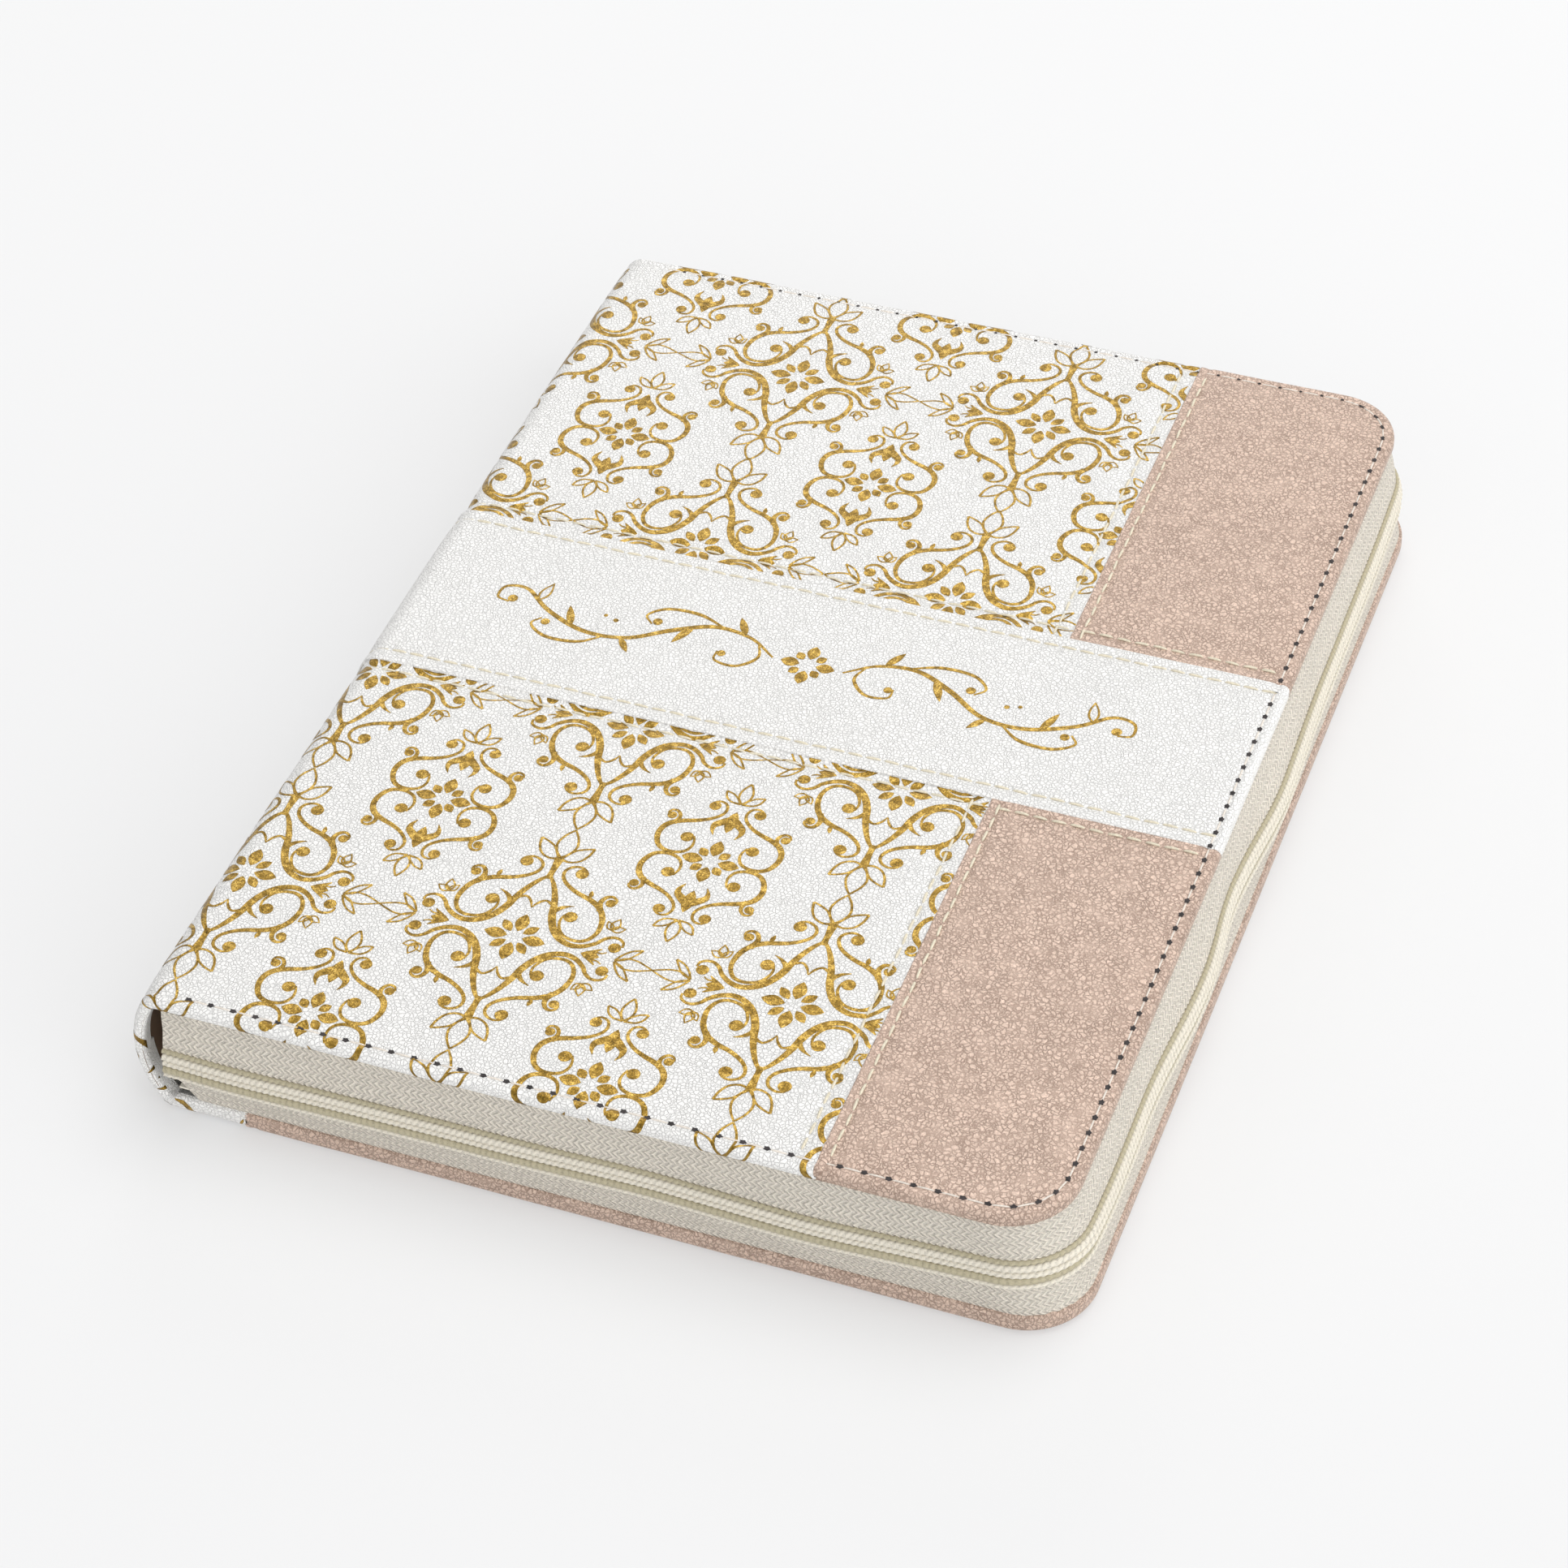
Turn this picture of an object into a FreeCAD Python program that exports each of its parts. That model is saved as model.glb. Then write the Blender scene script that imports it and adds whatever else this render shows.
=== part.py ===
"""Zip-around prayer journal: padded covers, bowed spine, sewn page block, coil zipper, slider.

Closed, lying on its back cover. Millimetres. +X runs from the spine to the fore-edge, +Y from
the tail to the head, +Z from the back cover to the front cover. The origin is the middle of
the cover's footprint, on the plane that the back cover rests on.
"""
import FreeCAD, Part
import math
import os

V = FreeCAD.Vector

# ---- overall sizes ----
cover_w = 157.0          # front cover, spine edge to fore-edge
cover_h = 213.0          # tail to head
total_t = 27.0           # closed, over both covers
back_overhang = 3.0      # the back cover reaches this much further at the fore-edge
corner_r = 12.0          # fore-edge corners of the covers

# ---- cover layers, from the outside in ----
foam_t = 0.8
board_t = 1.6
tape_t = 0.5
lining_t = 0.4
paste_t = 0.2
top_t = 1.3              # thickest skin: the piece that sets the closed thickness
second_t = 1.1           # the skin one step below it
damask_t = 0.9           # the patterned skin, lowest of the three
skirt_t = 0.9            # the skin where it is turned over the edge
edge_r = 1.2             # soft outer edge of the padded covers
layer_gap = 0.1          # between a turned-over skin and the board inside it

# ---- seams of the pieced skin ----
band_y0 = -19.0          # tail edge of the title band, from the middle
band_y1 = 24.0           # head edge of the title band
panel_x = 117.0          # the plain panels start here, from the spine edge
wrap_x = 16.3            # the patterned skin ends here on the back cover

# ---- spine ----
fold_r = 4.1             # outer radius of the folded skin at the spine edges
fold_x = 3.9             # centre of that fold, from the spine edge
spine_bow = 2.5          # how far the spine stands out beyond the spine edge
stiff_t = 0.6
spine_lining_t = 0.4
stiff_share = 0.84       # share of the bow's arc that the stiffener covers
crease_angle = 45.0      # the fold creases half way round
crease_gap_cover = 0.3   # from the crease to the cover's skin
crease_gap_spine = 0.6   # from the crease to the spine's skin

# ---- page block ----
page_fore_gap = 10.4     # from the front cover's fore-edge
page_end_gap = 5.5       # from the tail and head edges
page_r = 6.0
block_x = 4.6            # spine of the block, from the spine edge
signatures_half = 6      # folded signatures in each half of the block
flyleaf_t = 0.2
mull_t = 0.4
page_hinge_gap = 0.2     # between the spine lining and the axis that the pages turn on
opening_gap = 0.1        # between the two halves of the block

# ---- zipper ----
wall_inset = 0.9         # outer face of the tape, from the cover's edge
flange_w = 5.1           # width of the tape sewn into the cover
tape_x = 4.0             # the tape starts here, from the spine edge
coil_t = 1.6             # across the chain, inside to outside
coil_base = 1.0          # height of each row's base
tooth_h = 0.35
tooth_pitch = 2.7
notch_w = 1.8            # mouth of the notch between two teeth
chain_gap = 1.3          # between the rows, where the slider's post passes

# ---- slider, stops and pull ----
slider_l = 11.0
slider_h = 8.0           # at the mouths
slider_tail_h = 6.6      # at the closed end
plate_t = 1.15
channel_gap = 0.3        # round the chain
flange_gap = 0.3         # each side of the tape
side_rib = 0.9
plate_corner_r = 0.8
mouth_l = 3.7            # length over which the plates keep the width of the mouths
post_l = 2.6
post_w = 0.75
stop_l = 1.5
stop_gap = 0.4
stop_grip = 0.6          # how far a stop reaches over the tape
coil_start_gap = 1.7     # from the slider's closed end to the upper row's first tooth
bail_leg = 1.0
bail_span = 5.4          # over both legs
bail_w = 1.6
bail_corner_r = 0.8
bail_room = 0.3          # round the pull's cross bar
bar_r = 0.65
pull_l = 25.0
pull_w = 6.4
pull_tip_w = 4.6
pull_tip_r = 2.0
pull_window_l = 3.25
pull_window_w = 3.0
pull_hole_r = 1.3

# ---- worked out ----
x_spine = -cover_w / 2
y_tail = -cover_h / 2
y_head = cover_h / 2
z_mid = total_t / 2
x_fore_front = x_spine + cover_w
x_fore_back = x_fore_front + back_overhang
z_foam = total_t - top_t                 # outer face of the front foam
z_board = z_foam - foam_t
z_flange = z_board - board_t
z_lining = z_flange - tape_t
z_inner = z_lining - lining_t
z_paste = z_inner - paste_t
fold_z = z_foam + damask_t - fold_r      # centre height of the front fold
z_back_block = total_t - z_paste         # the block lies on the back pastedown
signature_t = (z_mid - opening_gap - z_back_block - flyleaf_t) / signatures_half
page_w = cover_w - block_x - page_fore_gap
page_h = cover_h - 2 * page_end_gap
wall_y = y_head - wall_inset - tape_t / 2
x_chain_wall = (x_fore_front + x_fore_back) / 2 - wall_inset
row_z = chain_gap / 2 + tooth_h + coil_base

os.makedirs("parts", exist_ok=True)


def save(shape, name):
    shape.exportStep("parts/" + name + ".step")


def box(x0, x1, y0, y1, z0, z1):
    return Part.makeBox(x1 - x0, y1 - y0, z1 - z0, V(x0, y0, z0))


def over(shape):
    """The same piece on the other cover: turned over about the mid-thickness plane."""
    return shape.mirror(V(0, 0, z_mid), V(0, 0, 1))


def arc(cx, cy, z, r, a0, a1):
    circle = Part.Circle(V(cx, cy, z), V(0, 0, 1), r)
    return Part.Arc(circle, math.radians(a0), math.radians(a1)).toShape()


def line(*ends):
    return Part.makeLine(V(*ends[0]), V(*ends[1]))


def outline(x0, x1, inset, r, z):
    """Plan outline: square at x0, rounded by r at the fore-edge; inset from tail and head."""
    y0 = y_tail + inset
    y1 = y_head - inset
    edges = [
        line((x0, y0, z), (x1 - r, y0, z)),
        arc(x1 - r, y0 + r, z, r, -90, 0),
        line((x1, y0 + r, z), (x1, y1 - r, z)),
        arc(x1 - r, y1 - r, z, r, 0, 90),
        line((x1 - r, y1, z), (x0, y1, z)),
        line((x0, y1, z), (x0, y0, z)),
    ]
    return Part.Wire(edges)


def plate(x0, x1, inset, r, z0, z1):
    face = Part.Face(outline(x0, x1, inset, r, z0))
    return face.extrude(V(0, 0, z1 - z0))


def cover_plate(x0, x_fore, inset, z0, z1):
    """A layer of one cover, inset from the cover's own edge."""
    return plate(x0, x_fore - inset, inset, corner_r - inset, z0, z1)


# ---- cover skins ----

def sector(r_out, r_in, a0, a1, y0, y1):
    """A strip of the skin where it is folded round the spine edge of the front cover."""
    cx = x_spine + fold_x
    ring = Part.makeCylinder(r_out, y1 - y0, V(cx, y0, fold_z), V(0, 1, 0))
    ring = ring.cut(Part.makeCylinder(r_in, y1 - y0, V(cx, y0, fold_z), V(0, 1, 0)))
    corners = [V(cx, y0, fold_z)]
    for angle in (a0, a1):
        turn = math.radians(angle)
        corners.append(V(cx + 2 * r_out * math.cos(turn), y0, fold_z + 2 * r_out * math.sin(turn)))
    wedge = Part.Face(Part.makePolygon(corners + corners[:1]))
    return ring.common(wedge.extrude(V(0, y1 - y0, 0)))


def crease_turn(gap):
    """Angle that a gap takes up along the middle of the folded skin."""
    return math.degrees(gap / (fold_r - damask_t / 2))


def folded_edge(top):
    """The cover's skin where it bends down towards the spine, up to the crease."""
    a1 = 90 + crease_angle - crease_turn(crease_gap_cover)
    return sector(top - fold_z, z_foam - fold_z, 90, a1, y_tail, y_head)


def skin_tray(thickness, x_fore):
    """Skin over foam and board, turned over the tail, head and fore-edges, folded at the spine."""
    top = z_foam + thickness
    x0 = x_spine + fold_x
    body = cover_plate(x0, x_fore, 0, z_flange, top)
    rim = [e for e in body.Edges
           if min(v.Z for v in e.Vertexes) > top - 0.01 and max(v.X for v in e.Vertexes) > x0 + 0.01]
    body = body.makeFillet(edge_r, rim)
    pocket = cover_plate(x0 - 1, x_fore, skirt_t, z_flange - 1, z_foam)
    return body.cut(pocket).fuse(folded_edge(top)).removeSplitter()


def seam_box(x0, x1, y0, y1):
    return box(x0, x1, y0, y1, -total_t, 2 * total_t)


def pieced_skins(tops, x_seam, x_fore):
    """The five pieces of one cover's skin. tops: thickness of pattern, band and panel."""
    pattern_t, band_t, panel_t = tops
    left = x_spine - 2 * fold_r
    right = x_fore + 1
    seam = x_spine + x_seam
    pattern = skin_tray(pattern_t, x_fore)
    band = skin_tray(band_t, x_fore)
    panel = skin_tray(panel_t, x_fore)
    return {
        "pattern_tail": pattern.common(seam_box(left, seam, y_tail - 1, band_y0)),
        "pattern_head": pattern.common(seam_box(left, seam, band_y1, y_head + 1)),
        "band": band.common(seam_box(left, right, band_y0, band_y1)),
        "panel_tail": panel.common(seam_box(seam, right, y_tail - 1, band_y0)),
        "panel_head": panel.common(seam_box(seam, right, band_y1, y_head + 1)),
        "panel_whole": panel.common(seam_box(seam, right, y_tail - 1, y_head + 1)),
        "band_short": band.common(seam_box(left, seam, band_y0, band_y1)),
    }


def front_skins():
    skins = pieced_skins((damask_t, top_t, second_t), panel_x, x_fore_front)
    save(skins["pattern_tail"], "front_damask_tail")
    save(skins["pattern_head"], "front_damask_head")
    save(skins["band"], "title_band")
    save(skins["panel_tail"], "front_panel_tail")
    save(skins["panel_head"], "front_panel_head")


def back_skins():
    skins = pieced_skins((damask_t, second_t, top_t), wrap_x, x_fore_back)
    save(over(skins["pattern_tail"]), "back_damask_tail")
    save(over(skins["pattern_head"]), "back_damask_head")
    save(over(skins["band_short"]), "back_band")
    save(over(skins["panel_whole"]), "back_panel")


# ---- inside of a cover ----

def cover_core(name, x_fore, place):
    x0 = x_spine + fold_x
    inset = skirt_t + layer_gap
    save(place(cover_plate(x0, x_fore, inset, z_board, z_foam)), name + "_foam")
    save(place(cover_plate(x0, x_fore, inset, z_flange, z_board)), name + "_board")
    edge = wall_inset + tape_t + 2 * layer_gap
    lining = cover_plate(x_spine + tape_x, x_fore, edge, z_inner, z_lining)
    raised = wall_inset + flange_w + layer_gap
    middle = cover_plate(x_spine + tape_x, x_fore, raised, z_lining, z_flange)
    save(place(lining.fuse(middle).removeSplitter()), name + "_lining")
    paste = page_plate(x_spine + block_x, z_paste, z_inner)
    save(place(paste), name + "_pastedown")


def page_plate(x0, z0, z1):
    x1 = x_spine + block_x + page_w
    return plate(x0, x1, (cover_h - page_h) / 2, page_r, z0, z1)


# ---- spine ----

def bow_radius():
    """Radius of the bow that meets both folds without a kink."""
    reach = fold_x + spine_bow
    rise = fold_z - z_mid
    return (rise ** 2 + reach ** 2 - fold_r ** 2) / (2 * (reach - fold_r))


def bow_half_angle():
    """Half the turn of the bow, from its middle to where it meets a fold."""
    return math.asin((fold_z - z_mid) / (bow_radius() - fold_r))


def bow_layer(outside, inside, share, y0, y1):
    """A strip of the bowed spine between two depths below the patterned skin's face."""
    r = bow_radius()
    cx = x_spine - spine_bow + r
    half = bow_half_angle() * share
    tube = Part.makeCylinder(r - outside, y1 - y0, V(cx, y0, z_mid), V(0, 1, 0))
    tube = tube.cut(Part.makeCylinder(r - inside, y1 - y0, V(cx, y0, z_mid), V(0, 1, 0)))
    dz = 1.5 * r * math.sin(half)
    dx = 1.5 * r * math.cos(half)
    wedge = Part.makePolygon([V(cx, y0, z_mid), V(cx - dx, y0, z_mid - dz),
                              V(cx - dx, y0, z_mid + dz), V(cx, y0, z_mid)])
    return tube.common(Part.Face(wedge).extrude(V(0, y1 - y0, 0)))


def spine_skin(y0, y1):
    """The patterned skin over the bow, with the start of the fold at each edge."""
    a0 = 90 + crease_angle + crease_turn(crease_gap_spine)
    a1 = 180 - math.degrees(bow_half_angle())
    lip = sector(fold_r, fold_r - damask_t, a0, a1, y0, y1)
    return bow_layer(0, damask_t, 1.0, y0, y1).multiFuse([lip, over(lip)]).removeSplitter()


def spine():
    save(spine_skin(y_tail, band_y0), "spine_damask_tail")
    save(spine_skin(band_y1, y_head), "spine_damask_head")
    save(bow_layer(damask_t - top_t, damask_t, 1.0, band_y0, band_y1), "spine_band")
    card = damask_t + stiff_t
    save(bow_layer(damask_t, card, stiff_share, y_tail, y_head), "spine_stiffener")
    save(bow_layer(card, card + spine_lining_t, stiff_share, y_tail, y_head), "spine_lining")


# ---- page block ----

def signature(z0):
    """One folded signature: a full round at the fold, rounded corners at the fore-edge."""
    r = signature_t / 2
    x0 = x_spine + block_x
    y0 = -page_h / 2
    z1 = z0 + signature_t
    flat = page_plate(x0 + r, z0, z1)
    fold = Part.makeCylinder(r, page_h, V(x0 + r, y0, z0 + r), V(0, 1, 0))
    return flat.fuse(fold).removeSplitter()


def half_block(name, first, z0, fly_z):
    for n in range(signatures_half):
        save(signature(z0 + n * signature_t), "signature_%02d" % (first + n))
    x0 = x_spine + block_x
    save(page_plate(x0, fly_z, fly_z + flyleaf_t), name + "_flyleaf")
    low = min(z0, fly_z)
    high = low + signatures_half * signature_t + flyleaf_t
    y0 = -page_h / 2
    save(box(x0 - mull_t, x0, y0, -y0, low, high), name + "_mull")


def page_block():
    half_block("back", 1, z_back_block + flyleaf_t, z_back_block)
    half_block("front", 1 + signatures_half, z_mid, z_mid + signatures_half * signature_t)


# ---- zipper ----

def tape(x_fore):
    """Tape of the front cover: sewn-in flange, and a wall that leans to the chain line."""
    x0 = x_spine + tape_x
    inset = wall_inset
    flange = cover_plate(x0, x_fore, inset, z_lining, z_flange)
    flange = flange.cut(cover_plate(x0 - 1, x_fore, inset + flange_w, z_lining - 1, z_flange + 1))
    z_end = z_mid + row_z
    r = corner_r - inset
    outer = Part.makeLoft([outline(x0, x_fore - inset, inset, r, z_lining),
                           outline(x0, x_chain_wall, inset, r, z_end)], True, True)
    inner_r = r - tape_t
    deep = inset + tape_t
    inner = Part.makeLoft([outline(x0 - 1, x_fore - deep, deep, inner_r, z_lining),
                           outline(x0 - 1, x_chain_wall - tape_t, deep, inner_r, z_end)], True, True)
    return flange.fuse(outer.cut(inner)).removeSplitter()


def chain_legs():
    """Legs of the line along the middle of the chain: straight, round, straight, round, straight."""
    r = corner_r - wall_inset - tape_t / 2
    run = x_chain_wall - tape_t / 2 - r - x_spine - tape_x
    side = 2 * (wall_y - r)
    quarter = r * math.pi / 2
    return r, [run, quarter, side, quarter, run]


def chain_point(s):
    """Place and heading, in degrees, at a distance s along the chain from its head end."""
    r, legs = chain_legs()
    x, y, heading = x_spine + tape_x, wall_y, 0.0
    for n, leg in enumerate(legs):
        d = min(s, leg)
        turn = math.radians(heading)
        if n % 2 == 0:
            x += d * math.cos(turn)
            y += d * math.sin(turn)
        else:
            cx = x + r * math.sin(turn)
            cy = y - r * math.cos(turn)
            heading -= math.degrees(d / r)
            turn = math.radians(heading)
            x = cx - r * math.sin(turn)
            y = cy + r * math.cos(turn)
        s -= d
    return x, y, heading


def notch(s):
    """A V between two teeth, right through the row."""
    x, y, heading = chain_point(s)
    z0 = z_mid + chain_gap / 2
    z1 = z0 + tooth_h
    w = notch_w / 2
    below = 2 * w
    mouth = [V(-w, 0, z0), V(-w, 0, z0 - below), V(w, 0, z0 - below), V(w, 0, z0), V(0, 0, z1), V(-w, 0, z0)]
    wedge = Part.Face(Part.makePolygon(mouth)).extrude(V(0, 2 * coil_t, 0))
    wedge.translate(V(0, -coil_t, 0))
    wedge.rotate(V(0, 0, 0), V(0, 0, 1), heading)
    wedge.translate(V(x, y, 0))
    return wedge


def row_base():
    """The front cover's row without its teeth cut, right round the three open sides."""
    out = wall_inset + tape_t / 2 - coil_t / 2
    x_out = x_chain_wall + wall_inset - out
    deep = out + coil_t
    z0 = z_mid + chain_gap / 2
    z1 = z_mid + row_z
    x0 = x_spine + tape_x
    ring = plate(x0, x_out, out, corner_r - out, z0, z1)
    return ring.cut(plate(x0 - 1, x_out - coil_t, deep, corner_r - deep, z0 - 1, z1 + 1))


def toothed_row(head_start, tail_start, phase):
    """A row with its teeth, from its own start on the head side to its own end on the tail side."""
    row = row_base()
    x0 = x_spine + tape_x - 1
    row = row.cut(box(x0, x_spine + head_start, 0, y_head, 0, total_t))
    row = row.cut(box(x0, x_spine + tail_start, y_tail, 0, 0, total_t))
    count = int(sum(chain_legs()[1]) / tooth_pitch)
    return row.cut([notch((n + phase) * tooth_pitch) for n in range(count)])


def slider_start():
    return tape_x + stop_gap + stop_l + stop_gap


def stop(y_wall, z0, z1):
    """A metal stop clamped over the end of a tape."""
    x0 = x_spine + tape_x + stop_gap
    half = coil_t / 2 + channel_gap
    return box(x0, x0 + stop_l, y_wall - half, y_wall + half, z0, z1)


def zipper():
    front_tape = tape(x_fore_front)
    back_tape = over(tape(x_fore_back))
    save(front_tape, "front_zip_tape")
    save(back_tape, "back_zip_tape")
    start = slider_start()
    save(toothed_row(start + slider_l + coil_start_gap, start + stop_l, 0.0), "front_zip_row")
    save(over(toothed_row(start, start, 0.5)), "back_zip_row")
    z0 = z_mid + chain_gap / 2
    z1 = z_mid + row_z + stop_grip
    head_stop = stop(wall_y, z0, z1)
    save(head_stop.cut(front_tape), "front_top_stop")
    save(over(head_stop).cut(back_tape), "back_top_stop")
    bottom = stop(-wall_y, total_t - z1, z_mid + chain_gap / 2)
    save(bottom.cut(back_tape), "bottom_stop")


# ---- slider and pull ----

def shield(y0, y1):
    """A slider plate: wide at the mouths towards the spine, narrower at the closed end."""
    x0 = x_spine + slider_start()
    x1 = x0 + slider_l
    h0 = slider_h / 2
    h1 = slider_tail_h / 2
    shoulder = x0 + mouth_l
    points = [V(x0, y0, z_mid - h0), V(shoulder, y0, z_mid - h0), V(x1, y0, z_mid - h1),
              V(x1, y0, z_mid + h1), V(shoulder, y0, z_mid + h0), V(x0, y0, z_mid + h0),
              V(x0, y0, z_mid - h0)]
    body = Part.Face(Part.makePolygon(points)).extrude(V(0, y1 - y0, 0))
    corners = [e for e in body.Edges if abs(e.Vertexes[0].Y - e.Vertexes[-1].Y) > 0.1]
    return body.makeFillet(plate_corner_r, corners)


def side_ribs(y0, y1):
    """Turned-in sides of a plate, which keep the rows in the slider's channel."""
    whole = shield(y0, y1)
    channel = slider_tail_h / 2 - side_rib
    x0 = x_spine + slider_start() - 1
    return whole.cut(box(x0, x0 + slider_l + 2, y0 - 1, y1 + 1, z_mid - channel, z_mid + channel))


def slider():
    half = coil_t / 2 + channel_gap
    outer = shield(wall_y + half, wall_y + half + plate_t)
    inner = shield(wall_y - half - plate_t, wall_y - half)
    slot = tape_t / 2 + flange_gap
    ribs_out = side_ribs(wall_y + slot, wall_y + half)
    ribs_in = side_ribs(wall_y - half, wall_y - slot)
    x0 = x_spine + slider_start()
    post = box(x0, x0 + post_l, wall_y - half, wall_y + half, z_mid - post_w / 2, z_mid + post_w / 2)
    body = outer.multiFuse([inner, ribs_out, ribs_in, post]).removeSplitter()
    save(body, "slider_body")


def pull_axis():
    """Where the pull's cross bar sits under the bail: x and y of its axis."""
    x = x_spine + slider_start() + slider_l / 2
    y = wall_y + coil_t / 2 + channel_gap + plate_t + bail_room + bar_r
    return x, y


def bail():
    x, y = pull_axis()
    face_y = wall_y + coil_t / 2 + channel_gap + plate_t
    top = y + bar_r + bail_room
    half = bail_span / 2
    z0 = z_mid - bail_w / 2
    z1 = z_mid + bail_w / 2
    arch = box(x - half, x + half, face_y, top + bail_leg, z0, z1)
    corners = [e for e in arch.Edges
               if e.Length < bail_w + 0.01 and e.Vertexes[0].Y > top and e.Vertexes[-1].Y > top
               and abs(e.Vertexes[0].Z - e.Vertexes[-1].Z) > 0.1]
    arch = arch.makeFillet(bail_corner_r, corners)
    room = box(x - half + bail_leg, x + half - bail_leg, face_y - 1, top, z0 - 1, z1 + 1)
    save(arch.cut(room), "slider_bail")


def pull():
    x, y = pull_axis()
    w0 = pull_w / 2
    w1 = pull_tip_w / 2
    x1 = x + pull_l
    y0 = y - bar_r
    waist = x + pull_window_l + 2 * bar_r
    points = [V(x, y0, z_mid - w0), V(waist, y0, z_mid - w0), V(x1, y0, z_mid - w1),
              V(x1, y0, z_mid + w1), V(waist, y0, z_mid + w0), V(x, y0, z_mid + w0),
              V(x, y0, z_mid - w0)]
    tab = Part.Face(Part.makePolygon(points)).extrude(V(0, 2 * bar_r, 0))
    tips = [e for e in tab.Edges
            if abs(e.Vertexes[0].Y - e.Vertexes[-1].Y) > 0.1 and e.Vertexes[0].X > x1 - 0.01]
    tab = tab.makeFillet(pull_tip_r, tips)
    window_end = x + bar_r + pull_window_l
    tab = tab.cut(box(x - 1, window_end, y0 - 1, y0 + 2 * bar_r + 1,
                      z_mid - pull_window_w / 2, z_mid + pull_window_w / 2))
    bar = Part.makeCylinder(bar_r, 2 * w0, V(x, y, z_mid - w0), V(0, 0, 1))
    hole_x = x1 - w0
    hole = Part.makeCylinder(pull_hole_r, 4 * bar_r, V(hole_x, y0 - bar_r, z_mid), V(0, 1, 0))
    save(tab.fuse(bar).cut(hole).removeSplitter(), "zipper_pull")


front_skins()
back_skins()
cover_core("front", x_fore_front, lambda shape: shape)
cover_core("back", x_fore_back, over)
spine()
page_block()
zipper()
slider()
bail()
pull()
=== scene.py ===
"""Zip-around prayer journal: pieced leather case with a gold damask, seams, woven zip tapes and chain.

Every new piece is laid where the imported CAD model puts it. Sizes in the code are millimetres;
they become metres when a mesh is written.
"""
import math

import bpy
import numpy as np
from mathutils import Matrix, Vector


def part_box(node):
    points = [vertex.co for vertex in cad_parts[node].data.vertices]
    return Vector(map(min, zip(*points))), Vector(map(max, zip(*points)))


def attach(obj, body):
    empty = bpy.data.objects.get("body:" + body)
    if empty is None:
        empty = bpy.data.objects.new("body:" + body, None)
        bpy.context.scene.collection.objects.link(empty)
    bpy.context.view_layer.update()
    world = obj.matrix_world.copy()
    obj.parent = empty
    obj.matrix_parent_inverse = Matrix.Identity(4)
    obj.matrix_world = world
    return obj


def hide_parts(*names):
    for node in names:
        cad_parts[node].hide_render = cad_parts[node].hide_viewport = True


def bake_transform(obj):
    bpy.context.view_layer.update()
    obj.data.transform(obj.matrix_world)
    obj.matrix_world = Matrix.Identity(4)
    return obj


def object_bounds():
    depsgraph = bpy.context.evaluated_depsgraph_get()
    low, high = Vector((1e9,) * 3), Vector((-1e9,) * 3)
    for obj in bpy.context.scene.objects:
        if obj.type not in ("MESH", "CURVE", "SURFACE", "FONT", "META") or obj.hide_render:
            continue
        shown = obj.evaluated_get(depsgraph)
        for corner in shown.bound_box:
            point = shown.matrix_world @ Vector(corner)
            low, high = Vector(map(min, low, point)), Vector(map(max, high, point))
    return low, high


bl_info = {
    "name": "Zip Prayer Journal",
    "version": (1, 0, 0),
    "blender": (4, 5, 0),
    "location": "3D View > Sidebar > Journal",
    "description": "Builds the leather case, foil damask, seams, zip and studio of a prayer journal",
    "category": "Object",
}

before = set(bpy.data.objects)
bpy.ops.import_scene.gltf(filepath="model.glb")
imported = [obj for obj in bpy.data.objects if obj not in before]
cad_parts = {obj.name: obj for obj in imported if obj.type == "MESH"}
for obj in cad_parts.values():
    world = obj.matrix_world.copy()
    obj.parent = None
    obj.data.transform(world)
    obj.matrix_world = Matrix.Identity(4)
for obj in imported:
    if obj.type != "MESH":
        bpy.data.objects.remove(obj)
cad_low, cad_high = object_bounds()


def corner(node, which, axis):
    """One coordinate of a CAD node's box, in millimetres. which: 0 lowest, 1 highest."""
    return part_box(node)[which][axis] * 1000


# ---- places read from the CAD model ----
TAIL = corner("front_damask_tail", 0, 1)
HEAD = corner("front_damask_head", 1, 1)
FORE = {"front": corner("title_band", 1, 0), "back": corner("back_panel", 1, 0)}
Z_BAND = corner("title_band", 1, 2)
Z_PANEL = corner("front_panel_tail", 1, 2)
Z_PATTERN = corner("front_damask_tail", 1, 2)
Z_FLANGE = corner("front_zip_tape", 1, 2)
Z_MID = (corner("spine_damask_tail", 0, 2) + corner("spine_damask_tail", 1, 2)) / 2
BAND_TAIL = corner("title_band", 0, 1)
BAND_HEAD = corner("title_band", 1, 1)
TAPE_X = corner("front_zip_tape", 0, 0)
CHAIN_X = corner("front_zip_tape", 1, 0)
BOW_X = corner("spine_damask_tail", 0, 0)

# ---- shapes of the case that the boxes don't say ----
FOLD_X = 3.9
FOLD_R = 4.1
CORNER_R = 12.0
TAPE_INSET = 0.9
TAPE_TOP_INSET = 0.55
EDGE = corner("front_foam", 0, 0) - FOLD_X
BOW = EDGE - BOW_X
FOLD_Z = Z_PATTERN - FOLD_R
REACH = FOLD_X + BOW
RISE = FOLD_Z - Z_MID
BOW_R = (RISE ** 2 + REACH ** 2 - FOLD_R ** 2) / (2 * (REACH - FOLD_R))
BOW_HALF = math.asin(RISE / (BOW_R - FOLD_R))
BOW_CENTRE = EDGE - BOW + BOW_R
FOLD_TURN = math.pi / 2 - BOW_HALF
FOLD_LEN = FOLD_R * FOLD_TURN
MIDDLE = FOLD_X - FOLD_LEN - BOW_R * BOW_HALF      # the middle of the spine, along the wrap
PANEL_U = corner("front_panel_tail", 0, 0) - EDGE
WRAP_U = corner("back_panel", 0, 0) - EDGE
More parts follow.
